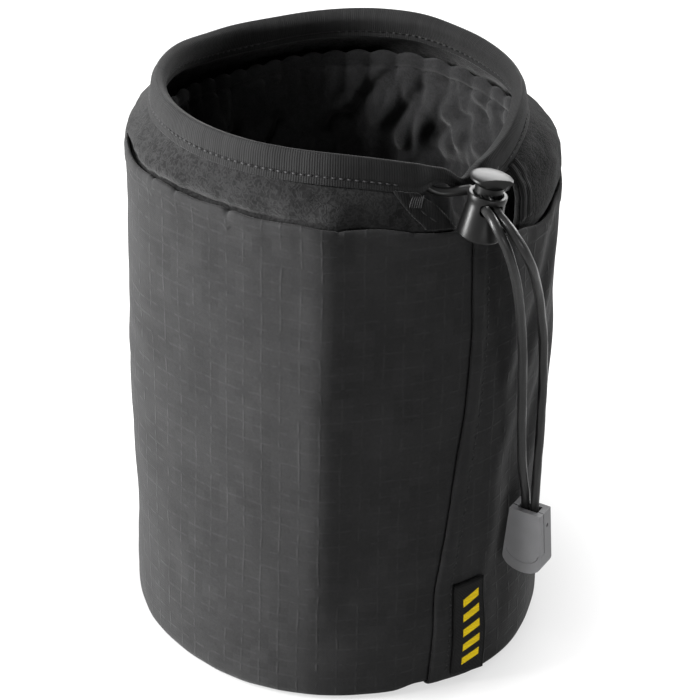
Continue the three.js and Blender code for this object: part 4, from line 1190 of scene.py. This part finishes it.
class POUCH_OT_shell(Operator):
    """Ripstop wall with its lapped seam and rolled hem, and the base disc"""

    bl_idname = "pouch.shell"
    bl_label = "Wall and base"

    def execute(self, context):
        size = sizes()
        travel = shell_columns()[:, None]
        girth = travel[-1, 0]
        cloth = size.shell_cloth
        thick = cloth * rounded_edge(np.minimum(travel, girth - travel), 0.0007)
        slim, deep = (cloth - thick) / 2, EDGE_ROUND - cloth
        outer, inner = [], []
        for bend in np.linspace(0, math.pi / 2, 9)[:-1]:
            inset, rise = EDGE_ROUND * (1 - math.sin(bend)), EDGE_ROUND * (1 - math.cos(bend))
            outer.append(shell_place(travel, 0.0, -(FLOOR_GAP + rise), inset + slim))
            inset, rise = EDGE_ROUND - deep * math.sin(bend), EDGE_ROUND - deep * math.cos(bend)
            inner.append(shell_place(travel, 0.0, -(FLOOR_GAP + rise), inset - slim))
        shares = [(share, 0.0) for share in np.linspace(0.028, 0.884, 63)]
        for drops in (np.linspace(0.0118, 0.0072, 5), np.linspace(0.0066, 0.0024, 15), HEM_EDGE_ROWS):
            shares += [(1.0, drop) for drop in drops]
        for share, drop in shares:
            below = drop if share == 1.0 else 1.0
            hem = cloth + HEM_THICKER * (1 - smooth(below, 0.0028, 0.0046))
            full = thick / cloth * hem * rounded_edge(np.array(below), HEM_EDGE)
            outer.append(shell_place(travel, share, drop, (hem - full) / 2))
            inner.append(shell_place(travel, share, drop, hem - (hem - full) / 2))
        outer, inner = (np.stack([row[:, 0] for row in rows], 1) for rows in (outer, inner))
        wall = cloth_mesh("ripstop_wall", outer, inner, False, made("Ripstop wall"))
        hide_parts("shell_panel")
        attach(wall, "pouch")
        self.base(size)
        return {"FINISHED"}

    def base(self, size):
        radius = size.body_radius - EDGE_ROUND - LAYER_GAP + 0.0002

        def dent(points):
            r = np.hypot(points[..., 0], points[..., 1])
            uneven = 1 + lumps(points * np.array([1, 1, 0]), 8, 0.012, 0.03)
            lift = 0.00025 * uneven * smooth(radius - r, 0, 0.012)
            groove = 0.00025 * hump(radius - r, 0.0022, 0.0006)
            low = points[..., 2] < BASE_CLOTH / 2
            points[..., 2] += np.where(low, np.clip(lift * 0.5, 0, 0.0005) + groove * 0.6, -groove * 0.6)
            return points

        profile = disc_profile(radius, 0.0, BASE_CLOTH, BASE_EDGE, 26, 4)
        base = turned_mesh("ripstop_base", profile, 120, made("Ripstop base"), dent=dent)
        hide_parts("base_panel")
        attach(base, "pouch")


class POUCH_OT_padding(Operator):
    """Foam sleeve in the wall and foam disc in the floor"""

    bl_idname = "pouch.padding"
    bl_label = "Padding"

    def execute(self, context):
        size = sizes()
        angle = np.linspace(-180, 180, 120, endpoint=False)[:, None]
        rows = np.concatenate([[0.0, 0.0008, 0.002], np.linspace(0.005, 0.1095, 36), [0.1105, 0.1112]])
        height = (SLEEVE_BASE + rows)[None, :]
        chamfer = SLEEVE_CHAMFER * (1 - rounded_edge(rows, SLEEVE_CHAMFER))[None, :]
        top = 0.0008 * (1 - rounded_edge(rows[-1] - rows, 0.0012))[None, :]
        hollow = np.minimum(wall_swell(angle, height), 0.0012)
        hollow = hollow + np.minimum(side_folds(angle, height), 0.0)
        outer_radius = size.body_radius - size.shell_cloth - 2 * LAYER_GAP + hollow
        outer = polar(outer_radius - chamfer - top, angle, height)
        inner = polar(SLEEVE_BORE + top, angle, height)
        sleeve = cloth_mesh("foam_sleeve", outer, inner, True, made("Foam"))
        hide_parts("wall_padding")
        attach(sleeve, "pouch")

        def crown(points):
            r = np.hypot(points[..., 0], points[..., 1])
            swell = 0.00022 * lumps(points, 9, 0.012, 0.03) * smooth(LINING_RADIUS - r, 0, 0.01)
            points[..., 2] += np.where(points[..., 2] > (PAD_BASE + PAD_TOP) / 2, swell - 0.0002, 0.0)
            return points

        profile = disc_profile(LINING_RADIUS, PAD_BASE, PAD_TOP, PAD_EDGE, 22, 5)
        pad = turned_mesh("foam_floor", profile, 96, made("Foam"), dent=crown)
        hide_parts("base_pad")
        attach(pad, "pouch")
        return {"FINISHED"}


class POUCH_OT_lining(Operator):
    """Brushed inner cloth gathered at its top edge, and the floor cloth"""

    bl_idname = "pouch.lining"
    bl_label = "Lining"

    def execute(self, context):
        angle = np.linspace(-180, 180, 480, endpoint=False)[:, None]
        share = graded((0, 0.3, 8), (0.3, 0.94, 70), (0.94, 1, 20))[None, :]
        half = LINING_CLOTH / 2 * rounded_edge((1 - share) * 0.12, 0.0008)
        outer = lining_place(angle, share, LINING_CLOTH / 2 - half)
        inner = lining_place(angle, share, LINING_CLOTH / 2 + half)
        lining = cloth_mesh("gathered_lining", outer, inner, True, made("Brushed lining"))
        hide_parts("wall_lining")
        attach(lining, "pouch")
        radius = LINING_RADIUS - LINING_CLOTH - LAYER_GAP

        def rumple(points):
            r = np.hypot(points[..., 0], points[..., 1])
            uneven = lumps(points * np.array([1, 1, 0]), 12, 0.008, 0.024)
            lift = 0.0002 * uneven * smooth(radius - r, 0, 0.008)
            points[..., 2] += np.where(points[..., 2] > (LINING_BASE + FLOOR_CLOTH_TOP) / 2, lift, 0.0)
            return points

        profile = disc_profile(radius, LINING_BASE, FLOOR_CLOTH_TOP, FLOOR_CLOTH_EDGE, 26, 4)
        floor = turned_mesh("floor_cloth", profile, 110, made("Brushed lining"), dent=rumple)
        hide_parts("base_lining")
        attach(floor, "pouch")
        return {"FINISHED"}


class POUCH_OT_collar(Operator):
    """Fleece collar with its slit, and the bound edges of the slit"""

    bl_idname = "pouch.collar"
    bl_label = "Collar"

    def execute(self, context):
        share = graded((0, DOME_FROM, 8), (DOME_FROM, GRIP_FROM, 34), (GRIP_FROM, 1, 6))[None, :]
        begin, end = [0, 0.0003, 0.0008, 0.0016], [0.9984, 0.9992, 0.9997, 1]
        run = np.concatenate([begin, np.linspace(0.004, 0.996, 250), end])
        angle = lerp(slit_right(share), slit_left(share) + 360, run[:, None])
        cloth = sizes().collar_cloth
        half = cloth / 2 * rounded_edge(np.minimum(run, 1 - run)[:, None] * 0.26, 0.0008)
        half = half * rounded_edge(share * 0.034 + 0.0001, 0.0008)
        outer = collar_place(angle, share, half)
        inner = collar_place(angle, share, -half)
        collar = cloth_mesh("fleece_collar", outer, inner, False, made("Fleece"))
        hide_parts("collar")
        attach(collar, "pouch")
        facings = [self.facing("left", slit_left, -1), self.facing("right", slit_right, 1)]
        return {"FINISHED"}

    def facing(self, name, edge_at, side):
        """Bound edge of the slit, a soft flat tube laid on the collar."""
        cloth, broad = sizes().collar_cloth, FACING_WIDTH[name]
        width = math.degrees(broad / FACING_RADIUS)
        along = np.linspace(0, 1, 15)[:, None]
        inward = along * width if side > 0 else (along - 1) * width
        rows = np.linspace(0, 1, 40)[None, :]
        lowest, highest = self.span(edge_at, inward)
        share = lerp(lowest, highest, rows)
        base = cloth / 2 + LAYER_GAP
        full = FACING_CLOTH * rounded_edge(np.minimum(along, 1 - along) * broad, 0.0006)
        full = full * rounded_edge(np.minimum(rows, 1 - rows) * 0.012 + 0.00005, 0.0005)
        seam = FACING_GROOVE * hump((along - 0.5) * broad, 0.0, 0.0005)
        angle = edge_at(share) + inward
        outer = collar_place(angle, share, base + FACING_CLOTH / 2 + full / 2 - seam)
        inner = collar_place(angle, share, base + FACING_CLOTH / 2 - full / 2)
        facing = cloth_mesh(f"slit_hem_{name}", outer, inner, False, made("Slit tape"))
        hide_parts(f"slit_facing_{name}")
        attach(facing, "pouch")
        return facing

    def span(self, edge_at, inward):
        """Shares of the collar between the wall's hem and the tape, at each distance from the slit."""
        share = np.linspace(0.1, GRIP_FROM, 400)[None, :]
        angle = edge_at(share) + inward
        height = collar_line(angle, share)[1]
        ceiling = tape_point(angle, 0.0, 0.0)[..., 2] - LAYER_GAP
        free = (height > hem_top(angle) + FACING_RISE) & (height < ceiling)
        first, last = free.argmax(axis=1), free.shape[1] - 1 - free[:, ::-1].argmax(axis=1)
        return share[0, first][:, None], share[0, last][:, None]


class POUCH_OT_rim(Operator):
    """Ribbed tape folded over the collar's edge, the casing of the drawcord"""

    bl_idname = "pouch.rim"
    bl_label = "Rim tape"

    def execute(self, context):
        angle = np.linspace(-180, 180, 400, endpoint=False)
        sections = np.stack([self.section(a) for a in angle])
        tape = hoop_mesh("rim_tape", sections, made("Ribbed tape"))
        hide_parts("rim_binding")
        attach(tape, "pouch")
        return {"FINISHED"}

    def section(self, angle):
        return np.concatenate([self.arch(angle, 0.0), self.arch(angle, TAPE_CLOTH)[::-1]])

    def arch(self, angle, inset):
        """Up the flat outer face, over the pressed fold and down round the cord on the inner face."""
        tall = tape_height(angle)
        bend = tall - TAPE_SPREAD / 2
        half, fold = TAPE_SPREAD / 2 - 0.0002, 0.0007
        sides = np.array(
            [0, 0.06, 0.12, 0.17, 0.21, 0.24, 0.27, 0.3, 0.33, 0.37, 0.43, 0.52, 0.64, 0.76, 0.88]
        )
        pinch = 0.00045 * (1 - smooth(sides, 0.1, 0.9))
        up_face = sides * (tall - fold - 0.0002)
        pinch = pinch + 0.00028 * hump(up_face, TAPE_STITCH_SHARE * tall, 0.00034)
        turn = np.linspace(0, 0.5 * math.pi, 7)
        crest_across, crest_up = half - 0.0003 - fold, tall - fold
        over = np.linspace(0.55 * math.pi, math.pi, 9)
        reach = half - inset
        across = np.concatenate([
            reach - pinch,
            crest_across + (fold - inset) * np.cos(turn),
            reach * np.cos(over),
            -(reach - pinch)[::-1],
        ])
        up = np.concatenate([
            sides * (crest_up - 0.0002),
            crest_up + (fold - inset) * np.sin(turn),
            bend + reach * np.sin(over),
            (sides * bend)[::-1],
        ])
        place = tape_point(angle, across, up)
        sway = 0.00016 * lumps(place, 51, 0.014, 0.035)
        return place + polar(sway, angle, 0.5 * sway)


class POUCH_OT_tab(Operator):
    """Folded woven tab held in the side seam"""

    bl_idname = "pouch.tab"
    bl_label = "Seam tab"

    def execute(self, context):
        ply, gap = TAG_PLY, TAG_PLY_GAP
        total = 2 * ply + gap
        run = np.linspace(0, 1, 18)
        turn = np.linspace(-math.pi / 2, math.pi / 2, 9)
        rows = np.linspace(0, 1, 30)
        nose = total / 2

        def fold(inset):
            low = np.stack([run * (TAG_WIDTH - nose), np.full(run.shape, inset)], -1)
            bow = nose - inset
            bend = np.stack([TAG_WIDTH - nose + bow * np.cos(turn), nose + bow * np.sin(turn)], -1)
            high = np.stack([run[::-1] * (TAG_WIDTH - nose), np.full(run.shape, total - inset)], -1)
            return np.concatenate([low, bend, high])

        def place(line):
            across, lift = line[:, 0][:, None], line[:, 1][:, None]
            height = TAG_BASE + TAG_HEIGHT * rows[None, :]
            angle = TAG_ANGLE + np.degrees(across / sizes().body_radius)
            lap = (sizes().shell_cloth + LAYER_GAP) * lap_press(height) + LAYER_GAP + 0.0002
            lap = lap + sizes().body_radius + wall_swell(angle, height)
            curl = TAG_LIFT * (across / TAG_WIDTH) ** 2 * (1.3 - 0.9 * rows[None, :])
            return polar(lap + curl + lift, angle, height)

        outer, inner = place(fold(0.0)), place(fold(ply))
        tab = outwards(cloth_mesh("seam_tab", outer, inner, False, made("Woven tab")))
        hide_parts("label_tag")
        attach(tab, "pouch")
        return {"FINISHED"}


class POUCH_OT_lock(Operator):
    """Moulded bell, sprung button with its flat-sided head, and the return spring"""

    bl_idname = "pouch.lock"
    bl_label = "Cord lock"

    def execute(self, context):
        lock = lock_frame()
        foot = -BARREL_DEPTH
        bell = [(0, foot)] + arc((FOOT_RADIUS - FOOT_ROUND, foot + FOOT_ROUND), FOOT_ROUND, FOOT_ROUND, -90)
        for share in (0.25, 0.5, 0.75, 1):
            bell.append((lerp(FOOT_RADIUS, BARREL_RADIUS, share), lerp(foot + FOOT_ROUND, 0.0, share)))
        lip = BARREL_RISE - LIP
        bell += [(BARREL_RADIUS, lip * 0.7), (BARREL_RADIUS + 0.0001, lip)]
        bell += [(BARREL_RADIUS + LIP_FLARE, lip + 0.0005)]
        bell += arc((BARREL_RADIUS + LIP_FLARE - 0.0002, BARREL_RISE - 0.0002), 0.0002, 0.0002, 0, 4)
        bell += [(BORE_RADIUS + 0.0002, BARREL_RISE), (BORE_RADIUS, BARREL_RISE - 0.0002)]
        bell += [(BORE_RADIUS, foot + BARREL_FLOOR), (0, foot + BARREL_FLOOR)]
        barrel = turned_mesh("lock_bell", bell, 72, made("Lock plastic"))
        cut_away(barrel, self.slot(-SLOT_HALF_HEIGHT, SLOT_HALF_HEIGHT))
        self.finish(barrel, lock, "lock_barrel", "lock_plastic", "lock", 0.00016)
        self.button(lock)
        self.spring(lock)
        return {"FINISHED"}

    def button(self, lock):
        dome = HEAD_BASE + HEAD_HEIGHT - HEAD_DOME
        profile = [(0, STEM_TIP), (STEM_RADIUS - 0.0002, STEM_TIP), (STEM_RADIUS, STEM_TIP + 0.0002)]
        profile += [(STEM_RADIUS, HEAD_BASE - 0.0003), (STEM_RADIUS + 0.0003, HEAD_BASE)]
        profile += [(HEAD_RADIUS - 0.0009, dome - HEAD_RIM - 0.0001)]
        profile += arc((HEAD_RADIUS - 0.0003, dome - HEAD_RIM + 0.0003), 0.0003, 0.0003, -90, 4)
        profile += arc((0, dome), HEAD_RADIUS, HEAD_DOME, 0, 12)
        head = turned_mesh("lock_cap", profile, 72, made("Lock plastic"))
        corner = np.array([[HEAD_FLAT, -2 * HEAD_RADIUS], [3 * HEAD_RADIUS, 2 * HEAD_RADIUS]])
        points = [(x, y, z) for z in (HEAD_BASE - 0.0001, 0.02) for x in corner[:, 0] for y in corner[:, 1]]
        faces = [(0, 1, 3, 2), (4, 6, 7, 5), (0, 4, 5, 1), (2, 3, 7, 6), (0, 2, 6, 4), (1, 5, 7, 3)]
        flat = outwards(add_mesh("flat", points, faces, made("Lock plastic")))
        flat.data.transform(Matrix.Rotation(math.radians(HEAD_TURN), 4, "Z"))
        cut_away(head, self.slot(-SLOT_HALF_HEIGHT, SLOT_HALF_HEIGHT + BUTTON_TRAVEL), flat)
        self.finish(head, lock, "lock_button", "lock_plastic", "button", 0.00018)

    def spring(self, lock):
        share = np.linspace(0, 1, int(SPRING_TURNS * 36))
        turn = 2 * np.pi * SPRING_TURNS * share
        helix = np.stack([SPRING_RADIUS * np.cos(turn), SPRING_RADIUS * np.sin(turn),
                          lerp(SPRING_BASE, SPRING_TOP, share)], -1)
        line = np.array([placed(lock, point) for point in helix])
        coil = tube_mesh("return_spring", line, SPRING_WIRE / 2, 12, made("Spring steel"))
        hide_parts("lock_spring")
        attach(coil, "lock")
        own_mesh(coil)

    def slot(self, low, high):
        """Cutter of the cross hole: a round-cornered bar along X."""
        corner, reach = SLOT_HALF_HEIGHT * 0.6, 0.02
        outline = []
        for y, z, start in ((1, high, 0), (-1, high, 90), (-1, low, 180), (1, low, 270)):
            centre = (y * (SLOT_HALF_WIDTH - corner), z - corner if z == high else z + corner)
            outline += arc(centre, corner, corner, start, 5)
        count = len(outline)
        points = [(x, y, z) for x in (-reach, reach) for y, z in outline]
        faces = [tuple(range(count)), tuple(range(2 * count - 1, count - 1, -1))]
        faces += [(k, (k + 1) % count, (k + 1) % count + count, k + count) for k in range(count)]
        return outwards(add_mesh("slot", points, faces, made("Lock plastic")))

    def finish(self, piece, lock, node, slot, body, edge):
        soften(piece, edge, 42)
        piece.data.transform(lock)
        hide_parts(node)
        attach(piece, body)


class POUCH_OT_cord_end(Operator):
    """Two snapped halves that hold the knot of the tails"""

    bl_idname = "pouch.cord_end"
    bl_label = "Cord end"

    def execute(self, context):
        place = end_frame()
        half = END_THICKNESS / 2
        shoulder = END_SHOULDER - END_STEP
        plastic = made("Cord end plastic")
        cover_drop = END_DROP - LAYER_GAP
        outline = self.wedge(shoulder, cover_drop, shelf=END_SHELF)
        front = plate_mesh("end_cover", outline, -half, END_COVER, plastic)
        cut_away(front, self.channel(plastic), self.knot_room(plastic))
        self.finish(front, place, "cord_end_front")
        rear = plate_mesh("end_body", self.wedge(END_SHOULDER, END_DROP), -half, END_THICKNESS, plastic)
        seat_depth = END_COVER + LAYER_GAP
        seat_outline = self.wedge(shoulder + 0.0001, cover_drop, END_TOP_WIDTH, END_SHELF - 0.0001)
        seat = plate_mesh("seat", seat_outline, -half - seat_depth, 2 * seat_depth, plastic)
        hole = turned_mesh("hole", [(0, 0), (0.0005, 0), (0.0005, 0.006), (0, 0.006)], 20, plastic)
        sideways = Matrix.Rotation(math.pi / 2, 4, "Y")
        hole.data.transform(Matrix.Translation((0.0021, half / 3, -0.004)) @ sideways)
        cut_away(rear, seat, self.channel(plastic), self.knot_room(plastic), outwards(hole))
        self.finish(rear, place, "cord_end_rear")
        self.knot(place)
        return {"FINISHED"}

    def wedge(self, shoulder, drop, reach=0.0, shelf=0.0):
        """Outline that widens to its shoulder and ends in a round foot, set in by a shelf on each side."""
        half_at = lambda depth: lerp(END_TOP_WIDTH, END_FOOT_WIDTH, depth / END_SHOULDER) / 2
        half = half_at(shoulder)
        outline = [(-half_at(0) - reach, reach), (half_at(0) + reach, reach)]
        if shelf:
            outline.append((half + reach, -shoulder))
        turn = np.linspace(0, -math.pi, 25)
        outline += [((half - shelf) * math.cos(t), -shoulder + drop * math.sin(t)) for t in turn]
        if shelf:
            outline.append((-half - reach, -shoulder))
        return outline

    def channel(self, plastic):
        wide, depth = SLOT_HALF_WIDTH, END_CHANNEL + KNOT_SIZE[2] / 2
        outline = [(-wide, -depth), (wide, -depth), (wide, depth), (-wide, depth)]
        return plate_mesh("channel", outline, -SLOT_HALF_HEIGHT, 2 * SLOT_HALF_HEIGHT, plastic)

    def knot_room(self, plastic):
        ball = [(0, -1)] + arc((0, 0), 1, 1, -90)[1:] + arc((0, 0), 1, 1, 0)[1:]
        room = turned_mesh("room", ball, 24, plastic)
        scale = [side / 2 + LAYER_GAP for side in KNOT_SIZE]
        room.data.transform(Matrix.Translation((0, 0, -KNOT_DROP)) @ Matrix.Diagonal((*scale, 1)))
        return outwards(room)

    def knot(self, place):
        """Overhand knot, drawn tight: a lobed ball with the cord's turns standing out."""
        columns, rows = 64, 40
        around = np.linspace(0, 2 * np.pi, columns, endpoint=False)
        turn, tilt = np.meshgrid(around, np.linspace(-1.5, 1.5, rows), indexing="ij")
        groove = np.abs(np.sin(1.5 * turn + 2.2 * tilt)) ** 0.6
        size = 0.84 + 0.16 * groove
        points = np.stack([np.cos(tilt) * np.cos(turn), np.cos(tilt) * np.sin(turn), np.sin(tilt)], -1)
        points = points * size[..., None] * np.array(KNOT_SIZE) / 2 + np.array([0, 0, -KNOT_DROP])
        faces = [tuple(f) for f in grid_faces(columns, rows, True)]
        faces.append(tuple(i * rows for i in range(columns - 1, -1, -1)))
        faces.append(tuple(i * rows + rows - 1 for i in range(columns)))
        knot = outwards(add_mesh("cord_knot", points, faces, made("Cord")))
        knot.data.transform(place)
        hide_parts("tail_knot")
        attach(knot, "tail")

    def finish(self, piece, place, node):
        soften(piece, 0.00022, 40, flat_from=0.000002)
        piece.data.transform(place)
        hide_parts(node)
        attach(piece, "tail")


class POUCH_OT_stitching(Operator):
    """Thread of the side seam, rim tape, gathers and slit, and the bar tack"""

    bl_idname = "pouch.stitching"
    bl_label = "Stitching"

    def execute(self, context):
        size = sizes()
        radius, pitch = size.thread / 2, size.stitch_length
        self.seam(size, radius)
        for side, name in ((1, "outer"), (-1, "inner")):
            place = lambda at, out, s=side: tape_point(
                at, s * (TAPE_SPREAD / 2 - TAPE_STITCH_SINK + out), TAPE_STITCH_SHARE * tape_height(at)
            )
            angles = np.linspace(SLIT_RIGHT_TOP + 2, SLIT_LEFT_TOP + 358, 900)
            self.row(
                f"tape_stitches_{name}", place, angles, pitch * 0.8, radius, "tape", "Tape thread", 0.55
            )
        gather = lambda at, out: lining_place(at, 1 - GATHER_DROP / LINING_TALL, LINING_CLOTH + out)
        around = np.linspace(-180, 180, 1200)
        self.row("gather_stitches", gather, around, pitch * 1.3, radius * 0.8, "lining")
        for name, edge, side in (("left", slit_left, -1), ("right", slit_right, 1)):
            lift = size.collar_cloth / 2 + LAYER_GAP + FACING_CLOTH - FACING_GROOVE
            inward = side * math.degrees(FACING_WIDTH[name] / 2 / FACING_RADIUS)
            place = lambda at, out, e=edge, i=inward, b=lift: collar_place(e(at) + i, at, b + out)
            self.row(f"slit_stitches_{name}", place, np.linspace(0.34, 0.74, 200), pitch, radius, "tape")
        self.tack(radius)
        return {"FINISHED"}

    def tack(self, radius):
        """Bar tack across the top of the slit's left edge."""
        lift = sizes().collar_cloth / 2 + LAYER_GAP + FACING_CLOTH
        starts, ends, lifts = [], [], []
        for step in range(TACK_STITCHES):
            angle = slit_left(0.68) + TACK_START + TACK_STEP * step
            low = collar_place(np.array(angle), np.array(TACK_LOW), lift)
            starts.append(low)
            ends.append(collar_place(np.array(angle + TACK_LEAN), np.array(TACK_LOW + TACK_TALL), lift))
            lifts.append(collar_place(np.array(angle), np.array(0.7), lift + 0.001) - low)
        self.settle(stitch_mesh("bar_tack", starts, ends, lifts, radius, made("Tape thread")), "tape")

    def row(self, name, surface, places, pitch, radius, slot, thread="Thread", fill=0.72):
        starts, ends, lifts = stitched_line(surface, places, pitch, fill)
        self.settle(stitch_mesh(name, starts, ends, lifts, radius, made(thread)), slot)

    def seam(self, size, radius):
        """Zigzag line that holds the lap."""
        heights = np.arange(0.004, 0.117, size.stitch_length * 0.72)
        zig = np.where(np.arange(len(heights)) % 2, 0.00042, -0.00042)
        spot = lambda share, off, out: shell_place(SEAM_STITCH + off, share, 0.0, -out)
        shares = heights / size.shell_height
        points = np.array([spot(s, o, 0.0) for s, o in zip(shares, zig)])
        lifted = np.array([spot(s, o, 0.001) for s, o in zip(shares, zig)])
        gap = 0.14 * (points[1:] - points[:-1])
        lifts = (lifted - points)[1:]
        starts, ends = points[:-1] + gap, points[1:] - gap
        self.settle(stitch_mesh("seam_stitches", starts, ends, lifts, radius, made("Thread")), "ripstop")

    def settle(self, piece, slot):
        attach(piece, "pouch")


# Panel and registering


class POUCH_PT_panel(Panel):
    """Sizes, colours and making steps of the pouch"""

    bl_idname = "POUCH_PT_panel"
    bl_label = "Lens pouch"
    bl_space_type = "VIEW_3D"
    bl_region_type = "UI"
    bl_category = "Pouch"

    def draw(self, context):
        layout = self.layout
        for operator in OPERATORS:
            layout.operator(operator.bl_idname)
        for group_of in (context.scene.pouch_sizes, context.scene.pouch_colours):
            box = layout.box()
            for name in group_of.__annotations__:
                box.prop(group_of, name)


OPERATORS = (
    POUCH_OT_stage, POUCH_OT_cord_end, POUCH_OT_cords, POUCH_OT_shell, POUCH_OT_padding, POUCH_OT_lining,
    POUCH_OT_collar, POUCH_OT_rim, POUCH_OT_tab, POUCH_OT_lock, POUCH_OT_stitching,
)
CLASSES = (PouchSizes, PouchColours, *OPERATORS, POUCH_PT_panel)


def register():
    for item in CLASSES:
        bpy.utils.register_class(item)
    bpy.types.Scene.pouch_sizes = PointerProperty(type=PouchSizes)
    bpy.types.Scene.pouch_colours = PointerProperty(type=PouchColours)


def unregister():
    del bpy.types.Scene.pouch_colours
    del bpy.types.Scene.pouch_sizes
    for item in reversed(CLASSES):
        bpy.utils.unregister_class(item)


def main():
    register()
    make_materials()
    for operator in OPERATORS:
        family, name = operator.bl_idname.split(".")
        getattr(getattr(bpy.ops, family), name)()


if __name__ == "__main__":
    main()
